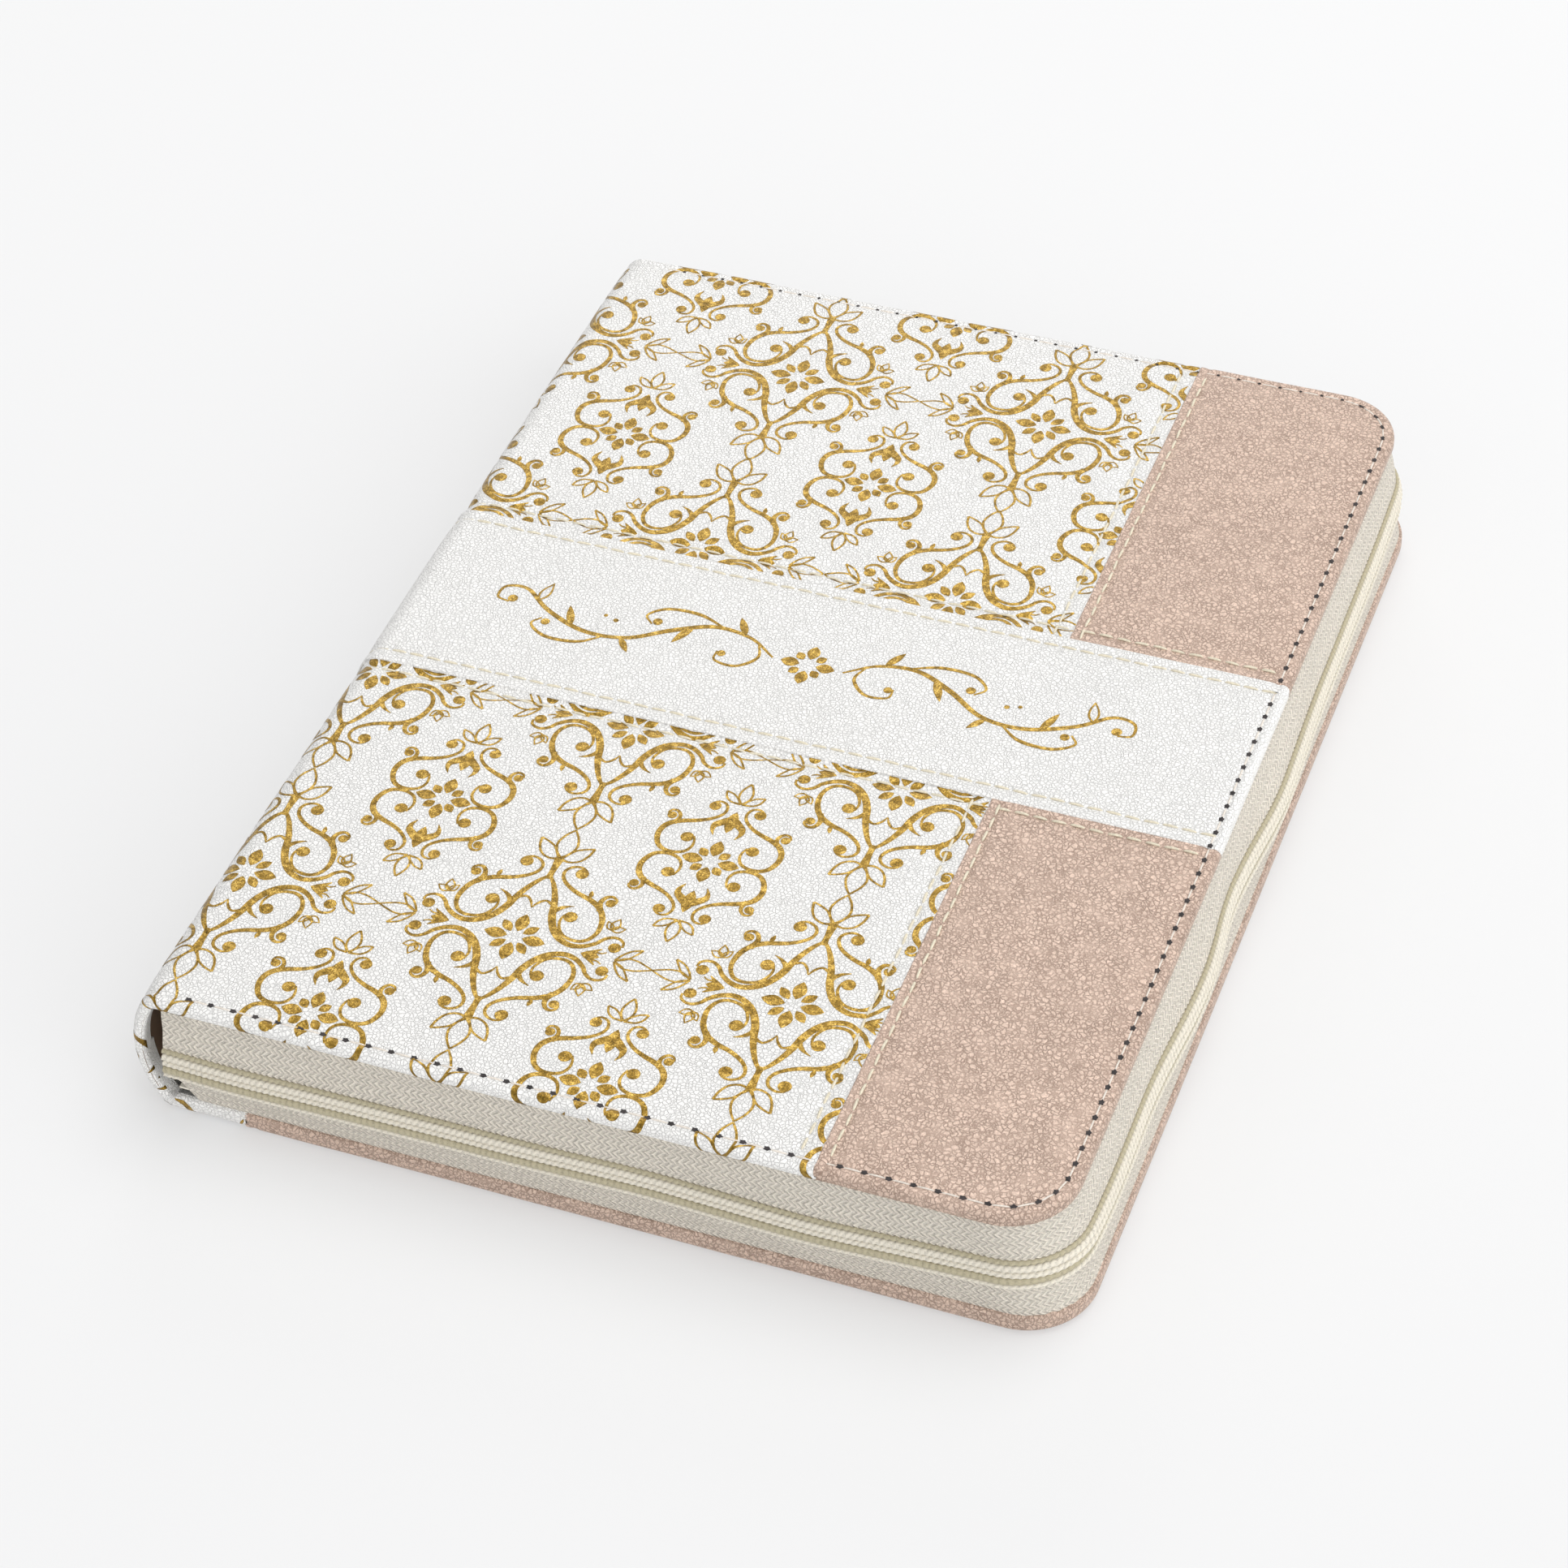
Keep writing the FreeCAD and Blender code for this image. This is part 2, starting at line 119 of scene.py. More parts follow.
FORE_U = {side: x - EDGE for side, x in FORE.items()}
SEAM_U = {"front": PANEL_U, "back": WRAP_U}
SKIN_TAIL, SKIN_HEAD = TAIL - 0.1, HEAD + 0.1      # the soft leather stands a little past the CAD edges
LAP = 0.6                                          # how far a piece runs on under the next one
SPINE_DROP = 2.2
DROP = {"front": 2.6, "back": Z_PATTERN - Z_FLANGE}   # how far each cover's leather is turned down

# ---- rows of stitches, from the spine edge and from the middle of the cover ----
BAND_ROWS = (-16.0, 21.5)
SKIN_ROWS = (-20.8, 26.8)
PATTERN_ROW = 114.0
PANEL_ROW = 118.8
EDGE_ROW = 2.0
WRAP_ROW = WRAP_U + 1.8
ROW_WIDTH = 0.75
FAR = 999
LEATHER = 0.0005      # thickness of the pieces, in metres


# ---- settings ----

def length(name, description, default, low, high):
    return bpy.props.FloatProperty(
        name=name, description=description + ", in millimetres", default=default, min=low, max=high)


class JournalSizes(bpy.types.PropertyGroup):
    edge_radius: length("Edge radius", "Soft outer edge of the padded covers", 1.2, 0.5, 1.6)
    turn_radius: length("Turn-in radius", "Inner edge of the turned leather", 0.8, 0.3, 1.2)
    groove: length("Seam depth", "How far a row of stitches pulls the leather in", 0.2, 0.0, 0.5)
    puff: length("Padding", "How far the leather stands up between its seams", 0.22, 0.0, 0.6)
    stitch: length("Edge stitch", "Pitch of the edge stitches", 4.05, 2.0, 6.0)
    fore_stitch: length("Fore-edge stitch", "Pitch of the edge stitches along the fore-edge", 3.35, 2.0, 6.0)
    seam_stitch: length("Seam stitch", "Pitch of the seam stitches", 3.3, 2.0, 6.0)
    foil_lift: length("Foil lift", "Height of the foil over the leather", 0.03, 0.01, 0.1)
    cord_pitch: length("Cord pitch", "Pitch of the chain's twisted cords", 1.1, 0.6, 2.0)


def colour(name, description, value):
    return bpy.props.FloatVectorProperty(
        name=name, description=description, subtype="COLOR", size=3, min=0, max=1, default=value)


class JournalColours(bpy.types.PropertyGroup):
    white: colour("White leather", "Band and ground of the damask", (0.84, 0.832, 0.815))
    rose: colour("Rose leather", "Pearl leather of the fore-edge panels", (0.75, 0.57, 0.468))
    # painted shade: the colour the cracks are painted, as shade in the creases of the pearl leather
    rose_crease_shade: colour("Rose creases", "Creases of the pearl leather", (0.30, 0.208, 0.16))
    gold: colour("Gold foil", "Foil of the damask", (0.275, 0.165, 0.03))
    # painted highlight: the colour of the foil's glints, painted into its base colour
    gold_glint: colour("Gold glints", "Brightest parts of the foil", (0.68, 0.46, 0.12))
    tape: colour("Zip tape", "Woven tape", (0.85, 0.785, 0.68))
    cord: colour("Zip cord", "Twisted cord of the chain", (0.68, 0.635, 0.54))
    khaki: colour("Zip coil", "Coil and warp line of the chain", (0.42, 0.375, 0.255))
    thread: colour("Seam thread", "Thread of the seams", (0.70, 0.64, 0.50))
    edge_thread: colour("Edge thread", "Thread of the edge stitches", (0.74, 0.68, 0.61))
    paper: colour("Paper", "Pages and linings", (0.80, 0.76, 0.66))
    # partly painted shade: a brown lining, darkened further to stand for the shade in the hollow of the
    # spine
    hollow: colour("Spine lining", "Lining inside the hollow of the spine", (0.20, 0.13, 0.085))
    metal: colour("Zip metal", "Slider, pull and stops", (0.72, 0.52, 0.24))
    floor: colour("Floor", "Seamless studio floor", (0.80, 0.802, 0.805))


def sizes():
    return bpy.context.scene.journal_sizes


def colours():
    return bpy.context.scene.journal_colours


# ---- mesh helpers ----

def alone(obj):
    """Selects this object only, and makes it the active one."""
    bpy.ops.object.select_all(action="DESELECT")
    obj.select_set(True)
    bpy.context.view_layer.objects.active = obj


def edit(obj, *steps):
    """Runs edit-mode steps on the whole of obj."""
    alone(obj)
    bpy.ops.object.mode_set(mode="EDIT")
    bpy.ops.mesh.select_mode(type="VERT")
    bpy.ops.mesh.select_all(action="SELECT")
    for step in steps:
        step()
    bpy.ops.object.mode_set(mode="OBJECT")
    return obj


def merge():
    bpy.ops.mesh.remove_doubles(threshold=2e-6)


def consistent():
    bpy.ops.mesh.normals_make_consistent(inside=False)


def write(obj, points):
    obj.data.vertices.foreach_set("co", (np.asarray(points, float) * 0.001).astype(np.float32).ravel())
    obj.data.update()


def read(obj):
    co = np.zeros(len(obj.data.vertices) * 3, np.float32)
    obj.data.vertices.foreach_get("co", co)
    return co.reshape(-1, 3).astype(float) * 1000


def cloth_grid(name, points, flat=None):
    """A grid whose crossings are points[i, j]; flat[i, j] gives its pattern coordinates, for the UV map."""
    n, m = points.shape[:2]
    bpy.ops.object.select_all(action="DESELECT")
    bpy.ops.mesh.primitive_grid_add(x_subdivisions=n - 1, y_subdivisions=m - 1, size=1)
    obj = bpy.context.object
    obj.name = name
    obj.data.name = name
    co = read(obj) / 1000 + 0.5
    i = np.rint(co[:, 0] * (n - 1)).astype(int)
    j = np.rint(co[:, 1] * (m - 1)).astype(int)
    write(obj, points[i, j])
    if flat is not None:
        lay_uv(obj, flat[i, j])
    return obj


def lay_uv(obj, flat):
    """Writes pattern coordinates, one UV unit to 100 mm."""
    layer = obj.data.uv_layers.active or obj.data.uv_layers.new(name="UVMap")
    index = np.zeros(len(obj.data.loops), np.int32)
    obj.data.loops.foreach_get("vertex_index", index)
    layer.data.foreach_set("uv", (flat[index] / 100).astype(np.float32).ravel())


def join(name, *objs):
    bpy.ops.object.select_all(action="DESELECT")
    for o in objs:
        o.select_set(True)
    bpy.context.view_layer.objects.active = objs[0]
    bpy.ops.object.join()
    objs[0].name = name
    objs[0].data.name = name
    return objs[0]


def modifier(obj, kind, **values):
    alone(obj)
    m = obj.modifiers.new(kind.lower(), kind)
    for key, value in values.items():
        setattr(m, key, value)
    bpy.ops.object.modifier_apply(modifier=m.name)


def smooth(obj, angle=None):
    alone(obj)
    if angle is None:
        bpy.ops.object.shade_smooth()
    else:
        bpy.ops.object.shade_smooth_by_angle(angle=math.radians(angle))


def upward(obj, sign):
    """Turns an open sheet over if its widest faces look the wrong way."""
    total = sum(p.area * p.normal.z for p in obj.data.polygons)
    if total * sign < 0:
        edit(obj, bpy.ops.mesh.flip_normals)


def paint(obj, material):
    obj.data.materials.clear()
    obj.data.materials.append(material)
    return obj


# ---- the surface of the case ----

def wrap(u, h):
    """Place and outward direction on the case at u along the wrap, h above the patterned leather.

    u is measured from the spine edge: positive over the front cover, negative round the spine.
    """
    first = np.clip(FOLD_X - u, 0, FOLD_LEN) / FOLD_R
    second = np.maximum(FOLD_X - FOLD_LEN - u, 0) / BOW_R
    angle = math.pi / 2 + first + second
    nx, nz = np.cos(angle), np.sin(angle)
    on_bow = second > 0
    r = np.where(on_bow, BOW_R, FOLD_R)
    cx = np.where(on_bow, BOW_CENTRE, EDGE + np.maximum(u, FOLD_X))
    cz = np.where(on_bow, Z_MID, FOLD_Z)
    return cx + (r + h) * nx, cz + (r + h) * nz, nx, nz


def turn(t, drop):
    """Out, down and tilt of leather t past the start of a turned edge, over an edge drop high."""
    r, b = sizes().edge_radius, sizes().turn_radius
    a = np.clip(t / r, 0, math.pi / 2)
    wall = np.maximum(drop - r - b, 0)
    t2 = np.clip(t - r * math.pi / 2, 0, wall)
    c = np.clip((t - r * math.pi / 2 - wall) / b, 0, math.pi / 2)
    t4 = np.maximum(t - r * math.pi / 2 - wall - b * math.pi / 2, 0)
    out = r * np.sin(a) - b * (1 - np.cos(c)) - t4
    down = r * (1 - np.cos(a)) + t2 + b * np.sin(c)
    return out, down, a + c


def turned_lines(drop, inward=1.3):
    """Where the grid lines of a turned edge go."""
    r, b = sizes().edge_radius, sizes().turn_radius
    first = r * math.pi / 2
    wall = drop - r - b
    last = b * math.pi / 2
    return np.concatenate([
        np.linspace(0, first, 7)[1:], first + np.linspace(0, wall, 3)[1:],
        first + wall + np.linspace(0, last, 5)[1:], [first + wall + last + inward]])


def groove_rows(side):
    """Rows that run along the wrap, and rows that run from tail to head, with where they start and end."""
    stop = FORE_U["front"] if side == "front" else WRAP_U
    long_rows = [(v, -FAR, stop) for v in (*BAND_ROWS, *SKIN_ROWS)]
    if side == "back":
        return long_rows, [(WRAP_ROW, -FAR, FAR)]
    return long_rows, [(row, *ends) for row in (PATTERN_ROW, PANEL_ROW)
                       for ends in ((-FAR, BAND_TAIL), (BAND_HEAD, FAR))]


def edge_distance(u, v, side):
    """Distance in from the cover's outline, with its rounded fore-edge corners."""
    side_v = np.minimum(v - TAIL, HEAD - v)
    side_u = FORE_U[side] - u
    corner_u, corner_v = CORNER_R - side_u, CORNER_R - side_v
    round_it = (corner_u > 0) & (corner_v > 0)
    return np.where(round_it, CORNER_R - np.hypot(np.maximum(corner_u, 0), np.maximum(corner_v, 0)),
                    np.minimum(side_v, side_u))


def relief(u, v, side):
    """How far the padded leather stands up or is pulled in by its stitches."""
    s = sizes()
    long_rows, cross = groove_rows(side)
    gap = np.abs(edge_distance(u, v, side) - EDGE_ROW)
    pulled = np.exp(-(gap / ROW_WIDTH) ** 2)
    for along, away, rows in ((u, v, long_rows), (v, u, cross)):
        for row, start, stop in rows:
            d = np.abs(away - row)
            inside = (along > start) & (along < stop)
            pulled = np.maximum(pulled, np.where(inside, np.exp(-(d / ROW_WIDTH) ** 2), 0))
            gap = np.minimum(gap, np.where(inside, d, FAR))
    puff = s.puff * (1 - np.exp(-gap / 3.0))
    waves = 0.045 * np.sin(u / 7.3 + v / 16.0 + 1.3) * np.sin(v / 8.9 - u / 21.0)
    waves += 0.03 * np.sin(u / 3.1 + 0.7 * np.sin(v / 5.0)) * np.sin(v / 4.3 + 2.0)
    return puff - s.groove * pulled + waves - 0.1


def step_height(u, piece, side):
    """Height of a piece of leather above the patterned one."""
    if piece == "band":
        if side == "front":
            return np.full_like(u, Z_BAND - Z_PATTERN)
        share = np.clip((u - MIDDLE) / (FOLD_X - MIDDLE), 0, 1)
        return (Z_BAND - Z_PATTERN) + share * (Z_PANEL - Z_BAND)
    if piece == "panel":
        return np.full_like(u, (Z_PANEL if side == "front" else Z_BAND) - Z_PATTERN)
    return np.zeros_like(u)


LIP = 0.32                                         # radius of a piece's rolled seam edge
LIP_LINES = np.array([0.1, 0.2, LIP, 0.42, 0.5, 1.1])


def lip(t):
    """Out and down of leather t past the start of a piece's rolled seam edge."""
    a = np.clip(t / LIP, 0, math.pi / 2)
    return LIP * np.sin(a), LIP * (1 - np.cos(a)) + np.maximum(t - LIP * math.pi / 2, 0)


def lay(u, v, piece, side, lift=0.0, normal=None):
    """Places pattern coordinates on the case: over the covers, round the spine and down turned edges.

    normal: how far past the outline, and its outward direction, given where a rounded edge is turned.
    """
    r = sizes().edge_radius
    if normal is None:
        vt = np.clip(v, SKIN_TAIL + r, SKIN_HEAD - r)
        ut = np.minimum(u, FORE_U[side] - r)
        t = np.maximum(np.abs(v - vt), u - ut)
        dx = (u > ut).astype(float)
        dy = np.sign(v - vt)
    else:
        ut, vt, (t, dx, dy) = u, v, normal
    down_lip = np.zeros_like(u)
    if piece == "band":
        vl = np.clip(vt, BAND_TAIL + LIP, BAND_HEAD - LIP)
        out, down_lip = lip(np.abs(vt - vl))
        vt = vl + np.sign(vt - vl) * out
    if piece == "panel":
        ul = np.maximum(ut, SEAM_U[side] + LIP)
        out, down_lip = lip(ul - ut)
        ut = ul - out
    h = step_height(ut, piece, side) + relief(ut, vt, side)
    x, z, nx, nz = wrap(ut, h)
    share = np.clip(ut / FOLD_X, 0, 1)
    drop = SPINE_DROP * (1 - share) + (DROP[side] + h) * share
    out, down, tilt = turn(t, drop)
    mx = nx * np.cos(tilt) + dx * np.sin(tilt)
    my = dy * np.sin(tilt)
    mz = nz * np.cos(tilt)
    high = lift - down_lip
    x = x + dx * out - nx * down + mx * high
    y = vt + dy * out + my * high
    z = z - nz * down + mz * high
    if side == "back":
        z = 2 * Z_MID - z
    return np.stack([x, y, z], -1)


def lines(a, b, rows=(), coarse=2.0, fine=0.38, near=1.3):
    """Grid lines from a to b, close together by the rows."""
    found = [a]
    while found[-1] < b - 1e-6:
        gap = min([abs(found[-1] - r) for r in rows] + [FAR])
        step = fine if gap < near else min(coarse, fine + 0.6 * (gap - near))
        found.append(min(b, found[-1] + step))
    if len(found) > 2 and found[-1] - found[-2] < 0.4 * fine:
        found.pop(-2)
    return np.array(found)


def spine_lines():
    """Lines from the middle of the spine to the start of the flat."""
    bow = np.linspace(MIDDLE, FOLD_X - FOLD_LEN, 10)
    fold = np.linspace(FOLD_X - FOLD_LEN, FOLD_X, 13)
    return np.concatenate([bow, fold[1:]])


def pattern_sheet(name, side, end):
    """Patterned leather of one cover from the middle of the spine to the panel seam, tail or head end."""
    us = np.concatenate([spine_lines(), lines(FOLD_X, SEAM_U[side] + LAP, [PATTERN_ROW])[1:]])
    r = sizes().edge_radius
    turned = turned_lines(DROP[side])
    if end == "tail":
        flat = lines(SKIN_TAIL + r, BAND_TAIL + LAP, [TAIL + EDGE_ROW, SKIN_ROWS[0]])
        vs = np.concatenate([flat[0] - turned[::-1], flat])
    else:
        flat = lines(BAND_HEAD - LAP, SKIN_HEAD - r, [HEAD - EDGE_ROW, SKIN_ROWS[1]])
        vs = np.concatenate([flat, flat[-1] + turned])
    return finish_sheet(name, us, vs, "pattern", side)


def band_sheet(name, side):
    """The white band from the middle of the spine: over the front's fore-edge, or to the back's panel."""
    if side == "front":
        r = sizes().edge_radius
        fore = FORE_U[side] - r
        flat = lines(FOLD_X, fore, [fore - EDGE_ROW + r])
        us = np.concatenate([spine_lines(), flat[1:], fore + turned_lines(DROP[side] + Z_BAND - Z_PATTERN)])
    else:
        us = np.concatenate([spine_lines(), lines(FOLD_X, WRAP_U + LAP)[1:]])
    middle = lines(BAND_TAIL + LIP, BAND_HEAD - LIP, BAND_ROWS)
    vs = np.concatenate([middle[0] - LIP_LINES[::-1], middle, middle[-1] + LIP_LINES])
    return finish_sheet(name, us, vs, "band", side)


def finish_sheet(name, us, vs, piece, side):
    u, v = np.meshgrid(us, vs, indexing="ij")
    obj = cloth_grid(name, lay(u, v, piece, side), np.stack([u, v], -1))
    upward(obj, 1 if side == "front" else -1)
    return obj


def round_corner(u, v, fore, inner):
    """Bends the square corners of a grid to the rounded corners of the cover."""
    r = CORNER_R - inner
    for edge, sign in ((SKIN_TAIL + CORNER_R, -1), (SKIN_HEAD - CORNER_R, 1)):
        a = (u - (fore - CORNER_R)) / r
        b = sign * (v - edge) / r
        inside = (a > 0) & (b > 0)
        a, b = np.where(inside, a, 0), np.where(inside, b, 0)
        bent_u = (fore - CORNER_R) + r * a * np.sqrt(1 - b * b / 2)
        bent_v = edge + sign * r * b * np.sqrt(1 - a * a / 2)
        u, v = np.where(inside, bent_u, u), np.where(inside, bent_v, v)
    return u, v


def panel_lines(side, end):
    """Where the grid lines of a panel's flat core go."""
    r, fore, seam = sizes().edge_radius, FORE_U[side], SEAM_U[side]
    start = fore - CORNER_R
    us = np.concatenate([seam + LIP - LIP_LINES[::-1],
                         lines(seam + LIP, start, [PANEL_ROW if side == "front" else WRAP_ROW]),
                         lines(start, fore - r, [fore - EDGE_ROW], coarse=0.9)[1:]])
    low, high = SKIN_TAIL + CORNER_R, SKIN_HEAD - CORNER_R
    by_tail = lines(SKIN_TAIL + r, low, [SKIN_TAIL + EDGE_ROW], coarse=0.9)
    by_head = lines(high, SKIN_HEAD - r, [SKIN_HEAD - EDGE_ROW], coarse=0.9)
    if end == "tail":
        return us, np.concatenate([by_tail, lines(low, BAND_TAIL + LAP, [SKIN_ROWS[0]])[1:]])
    if end == "head":
        return us, np.concatenate([lines(BAND_HEAD - LAP, high, [SKIN_ROWS[1]]), by_head[1:]])
    return us, np.concatenate([by_tail, lines(low, high)[1:], by_head[1:]])


def panel_outline(last_i, last_j, end):
    """Grid places round the open edges of a panel, in order."""
    path = [] if end == "head" else [(i, 0) for i in range(last_i + 1)]
    path += [(last_i, j) for j in range(0 if end == "head" else 1, last_j + 1)]
    if end != "tail":
        path += [(i, last_j) for i in range(last_i - 1, -1, -1)]
    return np.array(path).T


def panel_outward(u, v, on_last_line, side):
    """Outward directions along the outline of a panel."""
    centre = FORE_U[side] - CORNER_R
    nu = np.maximum(u - centre, 0)
    nv = v - np.clip(v, SKIN_TAIL + CORNER_R, SKIN_HEAD - CORNER_R)
    on_fore = on_last_line & (np.abs(nv) < 1e-9)
    on_side = (nu < 1e-9) | (u <= centre)
    nu = np.where(on_fore, 1.0, np.where(on_side, 0.0, nu))
    nv = np.where(on_fore, 0.0, np.where(on_side, np.sign(nv), nv))
    size = np.hypot(nu, nv)
    return nu / size, nv / size


def panel_sheet(name, side, end):
    """A pearl leather panel, with its fore-edge corners rounded and its edges turned in."""
    us, vs = panel_lines(side, end)
    u, v = np.meshgrid(us, vs, indexing="ij")
    u, v = round_corner(u, v, FORE_U[side], sizes().edge_radius)
    core = cloth_grid(name, lay(u, v, "panel", side), np.stack([u, v], -1))
    i, j = panel_outline(len(us) - 1, len(vs) - 1, end)
    nu, nv = panel_outward(u[i, j], v[i, j], i == len(us) - 1, side)
    ts = np.concatenate([[0], turned_lines(DROP[side] + Z_PANEL - Z_PATTERN)])
    u, t = np.meshgrid(u[i, j], ts, indexing="ij")
    v, nu, nv = (np.repeat(a[:, None], len(ts), 1) for a in (v[i, j], nu, nv))
    points = lay(u, v, "panel", side, normal=(t, nu, nv))
    # the leather gathers in small pleats where it is turned round a corner
    turning = np.clip(1.4 * np.minimum(np.abs(nu), np.abs(nv)), 0, 1)
    heading = np.arctan2(nv, nu)
    inner = np.clip((t - ts[-6]) / (ts[-2] - ts[-6]), 0, 1)
    pleat = 0.16 * turning * inner * (np.sin(heading * 26) + 0.5 * np.sin(heading * 41 + 1))
    points[..., 2] += pleat * (1 if side == "back" else -1)
    strip = cloth_grid(name + "_edge", points, np.stack([u + nu * t, v + nv * t], -1))
    obj = join(name, core, strip)
    edit(obj, merge, consistent)
    upward(obj, 1 if side == "front" else -1)
    return obj


# ---- foil ----

def curve_through(points, step=0.3):
    """A smooth line through given points."""
    p = np.array(points, float)
    p = np.vstack([2 * p[0] - p[1], p, 2 * p[-1] - p[-2]])
    found = []
    for k in range(1, len(p) - 2):
        a, b, c, d = p[k - 1:k + 3]
        n = max(2, int(np.hypot(*(c - b)) / step))
        t = np.linspace(0, 1, n, endpoint=False)[:, None]
        found.append(0.5 * (2 * b + (c - a) * t + (2 * a - 5 * b + 4 * c - d) * t ** 2
                            + (3 * b - a - 3 * c + d) * t ** 3))
    return np.vstack(found + [p[-2:-1]])


class Motif:
    """Flat foil shapes: vertices with a layer number for their height, and faces."""

    def __init__(self):
        self.points, self.faces, self.layer = [], [], 0

    def add(self, points, faces):
        first = len(self.points)
        self.layer += 1
        for x, y in points:
            self.points.append((x, y, self.layer % 7))
        self.faces += [tuple(first + k for k in f) for f in faces]

    def stroke(self, points, widths):
        line = curve_through(points)
        ahead = np.gradient(line, axis=0)
        ahead /= np.maximum(np.hypot(*ahead.T), 1e-9)[:, None]
        side = np.stack([-ahead[:, 1], ahead[:, 0]], 1)
        share = np.linspace(0, 1, len(line))
        half = np.interp(share, np.linspace(0, 1, len(widths)), widths)[:, None] / 2
        both = np.vstack([line + side * half, line - side * half])
        n = len(line)
        self.add(both, [(k, k + n, k + n + 1, k + 1) for k in range(n - 1)])

    def ball(self, x, y, r):
        turn_by = np.linspace(0, 2 * math.pi, 15)[:-1]
        ring = [(x + r * math.cos(a), y + r * math.sin(a)) for a in turn_by]
        self.add([(x, y)] + ring, [(0, k + 1, (k + 1) % 14 + 1) for k in range(14)])

    def leaf(self, base, tip, width, fullness=0.45):
        """A solid almond leaf from base to tip."""
        b, t = np.array(base, float), np.array(tip, float)
        length = np.hypot(*(t - b))
        ahead = (t - b) / length
        side = np.array([-ahead[1], ahead[0]])
        share = np.linspace(0, 1, 9)[1:-1]
        bulge = width / 2 * np.sin(math.pi * share ** (math.log(0.5) / math.log(fullness))) ** 0.85
        line = b + ahead * length * share[:, None]
        n = len(share)
        points = np.vstack([b, line + side * bulge[:, None], line - side * bulge[:, None], t])
        faces = [(0, n + 1, 1), (n, 2 * n, 2 * n + 1)]
        faces += [(k, k + n, k + n + 1, k + 1) for k in range(1, n)]
        self.add(points, faces)

    def petal(self, base, tip, width, line=0.3):
        """An outlined leaf from base to tip."""
        b, t = np.array(base, float), np.array(tip, float)
        ahead = (t - b)
        side = np.array([-ahead[1], ahead[0]]) / np.hypot(*ahead)
        for s in (1, -1):
            near, far = side * s * width * 0.47, side * s * width * 0.42
            outline = [b, b + ahead * 0.3 + near, b + ahead * 0.62 + far, t - side * s * 0.05]
            self.stroke(outline, [line, line * 1.25, line, line * 0.8])

    def copied(self, *signs):
        """The same shapes mirrored: one copy for each pair of signs."""
        made = Motif()
        for sx, sy in signs:
            first = len(made.points)
            made.points += [(x * sx, y * sy, z) for x, y, z in self.points]
            for f in self.faces:
                f = f if sx * sy > 0 else f[::-1]
                made.faces.append(tuple(first + k for k in f))
        return made

    def put(self, other, x=0.0, y=0.0, scale=1.0):
        first = len(self.points)
        self.points += [(px * scale + x, py * scale + y, z) for px, py, z in other.points]
        self.faces += [tuple(first + k for k in f) for f in other.faces]


FOUR = ((1, 1), (-1, 1), (1, -1), (-1, -1))
ENDS = ((1, 1), (1, -1))
SIDES = ((1, 1), (-1, 1))


def flower(long_petal, short_petal, start=1.3):
    made = Motif()
    for k in range(8):
        a = k * math.pi / 4
        reach, wide = (long_petal, 2.35) if k % 2 == 0 else (short_petal, 1.7)
        begin = start if k % 2 == 0 else start + 0.15
        x, y = math.cos(a), math.sin(a)
        made.leaf((begin * x, begin * y), (reach * x, reach * y), wide, 0.5)
    return made


